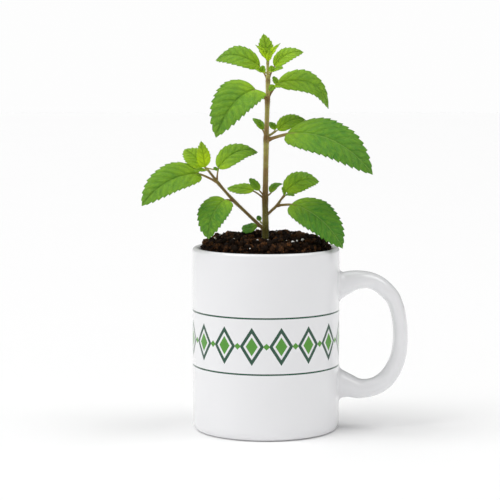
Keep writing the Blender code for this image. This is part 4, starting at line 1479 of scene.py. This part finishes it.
def petiole_section(turn):
    """Round below, with a groove along the top."""
    away = np.minimum(turn, math.tau - turn)
    return 1 - PETIOLE_GROOVE * np.exp(-((away / 0.55) ** 2))


def petiole_path(leaf, foot, radius):
    """The middle line of a petiole, arched out of its stem and then sunk along the midrib."""
    (heel,), (along,), _ = midrib(leaf.blade, [0.0])
    span = np.linalg.norm(heel - foot)
    lead = foot + (heel - foot) * PETIOLE_REACH + np.array([0.0, 0.0, span * PETIOLE_ARCH])
    trail = heel + (foot - heel) * PETIOLE_TRAIL - along * span * PETIOLE_TRAIL
    s = np.linspace(0.0, 1.0, PETIOLE_STEPS)[:, None]
    r = 1 - s
    path = foot * r**3 + lead * 3 * r * r * s + trail * 3 * r * s * s + heel * s**3
    beyond, _, lift = midrib(leaf.blade, np.linspace(0.02, 0.34, 9))
    sink = radius * np.linspace(0.35, 0.75, 9)[:, None] - 0.00020
    return np.concatenate([path, beyond - lift * sink]), span


def make_petiole(form, leaf):
    """The leaf's stalk, from inside its stem to a little way along the midrib."""
    foot = stem_axis(leaf.stem, leaf.foot_z)
    radius = max(PETIOLE_LEAST, leaf.blade.width * PETIOLE_OF_WIDTH)
    path, span = petiole_path(leaf, foot, radius)
    stem_radius = np.interp(leaf.foot_z, *np.array([row[2:] for row in STEMS[leaf.stem]]).T)
    out = np.linalg.norm(path - foot, axis=1) - stem_radius
    radii = radius * (1 + PETIOLE_SWELL * (1 - np.clip(out / span, 0, 1)))
    radii = radii * (1 + 0.42 * np.exp(-((np.maximum(out, 0.0) / 0.0013) ** 2)))
    taper = np.interp(np.arange(len(path)), (PETIOLE_STEPS - 2, len(path) - 1), (1.0, 0.30))
    _, _, (up,) = midrib(leaf.blade, [0.0])
    points, faces = tube(path, radii * taper, PETIOLE_SIDES, tuple(up), petiole_section)
    _, age = stem_skin(np.array([leaf.foot_z]))
    near = np.exp(-np.maximum(out, 0.0) / (0.45 * span))
    blush = capped(0.45 + 0.45 * near, PETIOLE_SIDES)
    age = capped(0.10 + age * (0.25 + 0.4 * near), PETIOLE_SIDES)
    form.add(points, faces, STALK, blush=blush, age=age, ridge=0.3)


def make_leaf(leaf, looks, green, skin):
    form = Form()
    make_blade(form, leaf.blade, looks)
    make_petiole(form, leaf)
    show(leaf.name + "_blade", form.mesh([green, skin]), (leaf.name,))


def make_bunch(bunch, looks, green, skin):
    """Young leaves on the short shoot that carries them."""
    foot, head = stem_axis(bunch.stem, bunch.foot_z), np.array(bunch.top)
    form = Form()
    blush, age = stem_skin(np.array([bunch.foot_z]))
    middle = (foot + head) / 2 + np.array([0.0, 0.0, -0.0002])
    rows = zip((foot, middle, head), bunch.radius * np.array([1.0, 0.94, 0.9]))
    route = smooth_route([(*place, radius) for place, radius in rows], 8)
    points, faces = tube(route[:, :3], route[:, 3], 16)
    form.add(points, faces, STALK, blush=0.35 * blush[0], age=0.4 * age[0])
    for i, blade in enumerate(bunch.blades):
        (heel,), _, (normal,) = midrib(blade, [0.0])
        root = foot + (head - foot) * (0.80 + 0.04 * i)
        beyond, _, lift = midrib(blade, np.linspace(0.04, BUNCH_SINK, 5))
        path = np.concatenate([[root, (root + heel) / 2, heel], beyond - lift * 0.0002])
        radii = PETIOLE_LEAST * np.array([1.0, 0.92, 0.85, 0.8, 0.7, 0.6, 0.5, 0.3])
        points, faces = tube(path, radii, 10, tuple(normal))
        form.add(points, faces, STALK, blush=0.1, age=0.05)
        make_blade(form, blade, looks)
    show(bunch.name + "_leaves", form.mesh([green, skin]), (bunch.name,))


def make_leaves(looks, stem):
    green = leaf_material("basil_leaf", looks, 0.42, 0.95)
    young = leaf_material("young_basil_leaf", looks, 0.48, 1.5)
    skin = stem_material(stem)
    for leaf in LEAVES:
        make_leaf(leaf, looks, green if leaf.blade.width >= BROAD_BLADE else young, skin)
    for bunch in BUNCHES:
        make_bunch(bunch, looks, young, skin)


# Stage


def make_floor(stage):
    bm = bmesh.new()
    bmesh.ops.create_grid(bm, x_segments=8, y_segments=8, size=FLOOR_REACH)
    mesh = bpy.data.meshes.new("pale_floor")
    bm.to_mesh(mesh)
    bm.free()
    mesh.materials.append(floor_material(stage))
    floor = placed("pale_floor", mesh)


def make_sky(stage):
    """Soft white light from all round, strongest from the front left, behind a plain background."""
    world = bpy.data.worlds.new("studio")
    bpy.context.scene.world = world
    world.use_nodes = True
    tree = world.node_tree
    inputs = {0: add_node(tree, "ShaderNodeTexCoord")["Generated"], 1: Vector(SKY_SIDE).normalized()}
    facing = add_node(tree, "ShaderNodeVectorMath", inputs, operation="DOT_PRODUCT")["Value"]
    light = tree.nodes["Background"]
    light.inputs["Color"].default_value = WHITE
    feed(light.inputs["Strength"], facing * stage.slant + stage.sky)
    plain = add_node(tree, "ShaderNodeBackground", {"Color": BACKGROUND})[0]
    seen = add_node(tree, "ShaderNodeLightPath")["Is Camera Ray"]
    mixed = add_node(tree, "ShaderNodeMixShader", {0: seen, 1: Outputs(light)[0], 2: plain})[0]
    feed(tree.nodes["World Output"].inputs["Surface"], mixed)


def add_sun(name, strength, place):
    """A far, broad lamp that shines from place towards the origin."""
    lamp = bpy.data.lights.new(name, "SUN")
    lamp.energy = strength
    lamp.angle = LAMP_BREADTH
    obj = placed(name, lamp)
    obj.location = place
    obj.rotation_euler = Vector(place).to_track_quat("Z", "Y").to_euler()


def make_camera():
    data = bpy.data.cameras.new("camera")
    data.lens = CAMERA_LENS
    data.sensor_width = SENSOR
    data.clip_start = 0.05
    camera = placed("camera", data)
    camera.location = CAMERA_PLACE
    camera.rotation_euler = (math.pi / 2 - CAMERA_PITCH, 0.0, 0.0)
    bpy.context.scene.camera = camera


# Operators, one for each group of pieces


class BASIL_OT_mug(bpy.types.Operator):
    """Build the glazed mug with its handle"""

    bl_idname = "potted_basil.mug"
    bl_label = "Mug"

    def execute(self, context):
        make_mug(context.scene.basil_mug)
        return {"FINISHED"}


class BASIL_OT_soil(bpy.types.Operator):
    """Build the potting soil and its perlite"""

    bl_idname = "potted_basil.soil"
    bl_label = "Soil"

    def execute(self, context):
        make_soil(context.scene.basil_soil)
        return {"FINISHED"}


class BASIL_OT_stems(bpy.types.Operator):
    """Build the main stem and its two branches"""

    bl_idname = "potted_basil.stems"
    bl_label = "Stems"

    def execute(self, context):
        make_stems(context.scene.basil_stem)
        return {"FINISHED"}


class BASIL_OT_leaves(bpy.types.Operator):
    """Build every leaf and every bunch of young leaves"""

    bl_idname = "potted_basil.leaves"
    bl_label = "Leaves"

    def execute(self, context):
        make_leaves(context.scene.basil_leaf, context.scene.basil_stem)
        return {"FINISHED"}


class BASIL_OT_stage(bpy.types.Operator):
    """Set the floor, the light and the camera"""

    bl_idname = "potted_basil.stage"
    bl_label = "Stage"

    def execute(self, context):
        stage = context.scene.basil_stage
        make_floor(stage)
        make_sky(stage)
        add_sun("key", stage.key, KEY_PLACE)
        add_sun("fill", stage.fill, FILL_PLACE)
        add_sun("back", stage.back, BACK_PLACE)
        make_camera()
        context.scene.view_settings.view_transform = "Standard"
        return {"FINISHED"}


OPERATORS = (BASIL_OT_mug, BASIL_OT_soil, BASIL_OT_stems, BASIL_OT_leaves, BASIL_OT_stage)


class BASIL_PT_panel(bpy.types.Panel):
    """Lists the pieces and their settings"""

    bl_label = "Potted Basil"
    bl_idname = "BASIL_PT_panel"
    bl_space_type = "VIEW_3D"
    bl_region_type = "UI"
    bl_category = "Potted Basil"

    def draw(self, context):
        layout = self.layout
        for operator in OPERATORS:
            layout.operator(operator.bl_idname)
        for name, group_class in SETTINGS.items():
            box = layout.box()
            box.label(text=group_class.__doc__)
            for key in group_class.__annotations__:
                box.prop(getattr(context.scene, name), key)


CLASSES = (*SETTINGS.values(), *OPERATORS, BASIL_PT_panel)


def register():
    for item in CLASSES:
        bpy.utils.register_class(item)
    for name, group_class in SETTINGS.items():
        setattr(bpy.types.Scene, name, PointerProperty(type=group_class))


def unregister():
    for name in SETTINGS:
        delattr(bpy.types.Scene, name)
    for item in reversed(CLASSES):
        bpy.utils.unregister_class(item)


def main():
    register()
    bpy.ops.potted_basil.mug()
    bpy.ops.potted_basil.soil()
    bpy.ops.potted_basil.stems()
    bpy.ops.potted_basil.leaves()
    bpy.ops.potted_basil.stage()


if __name__ == "__main__":
    main()
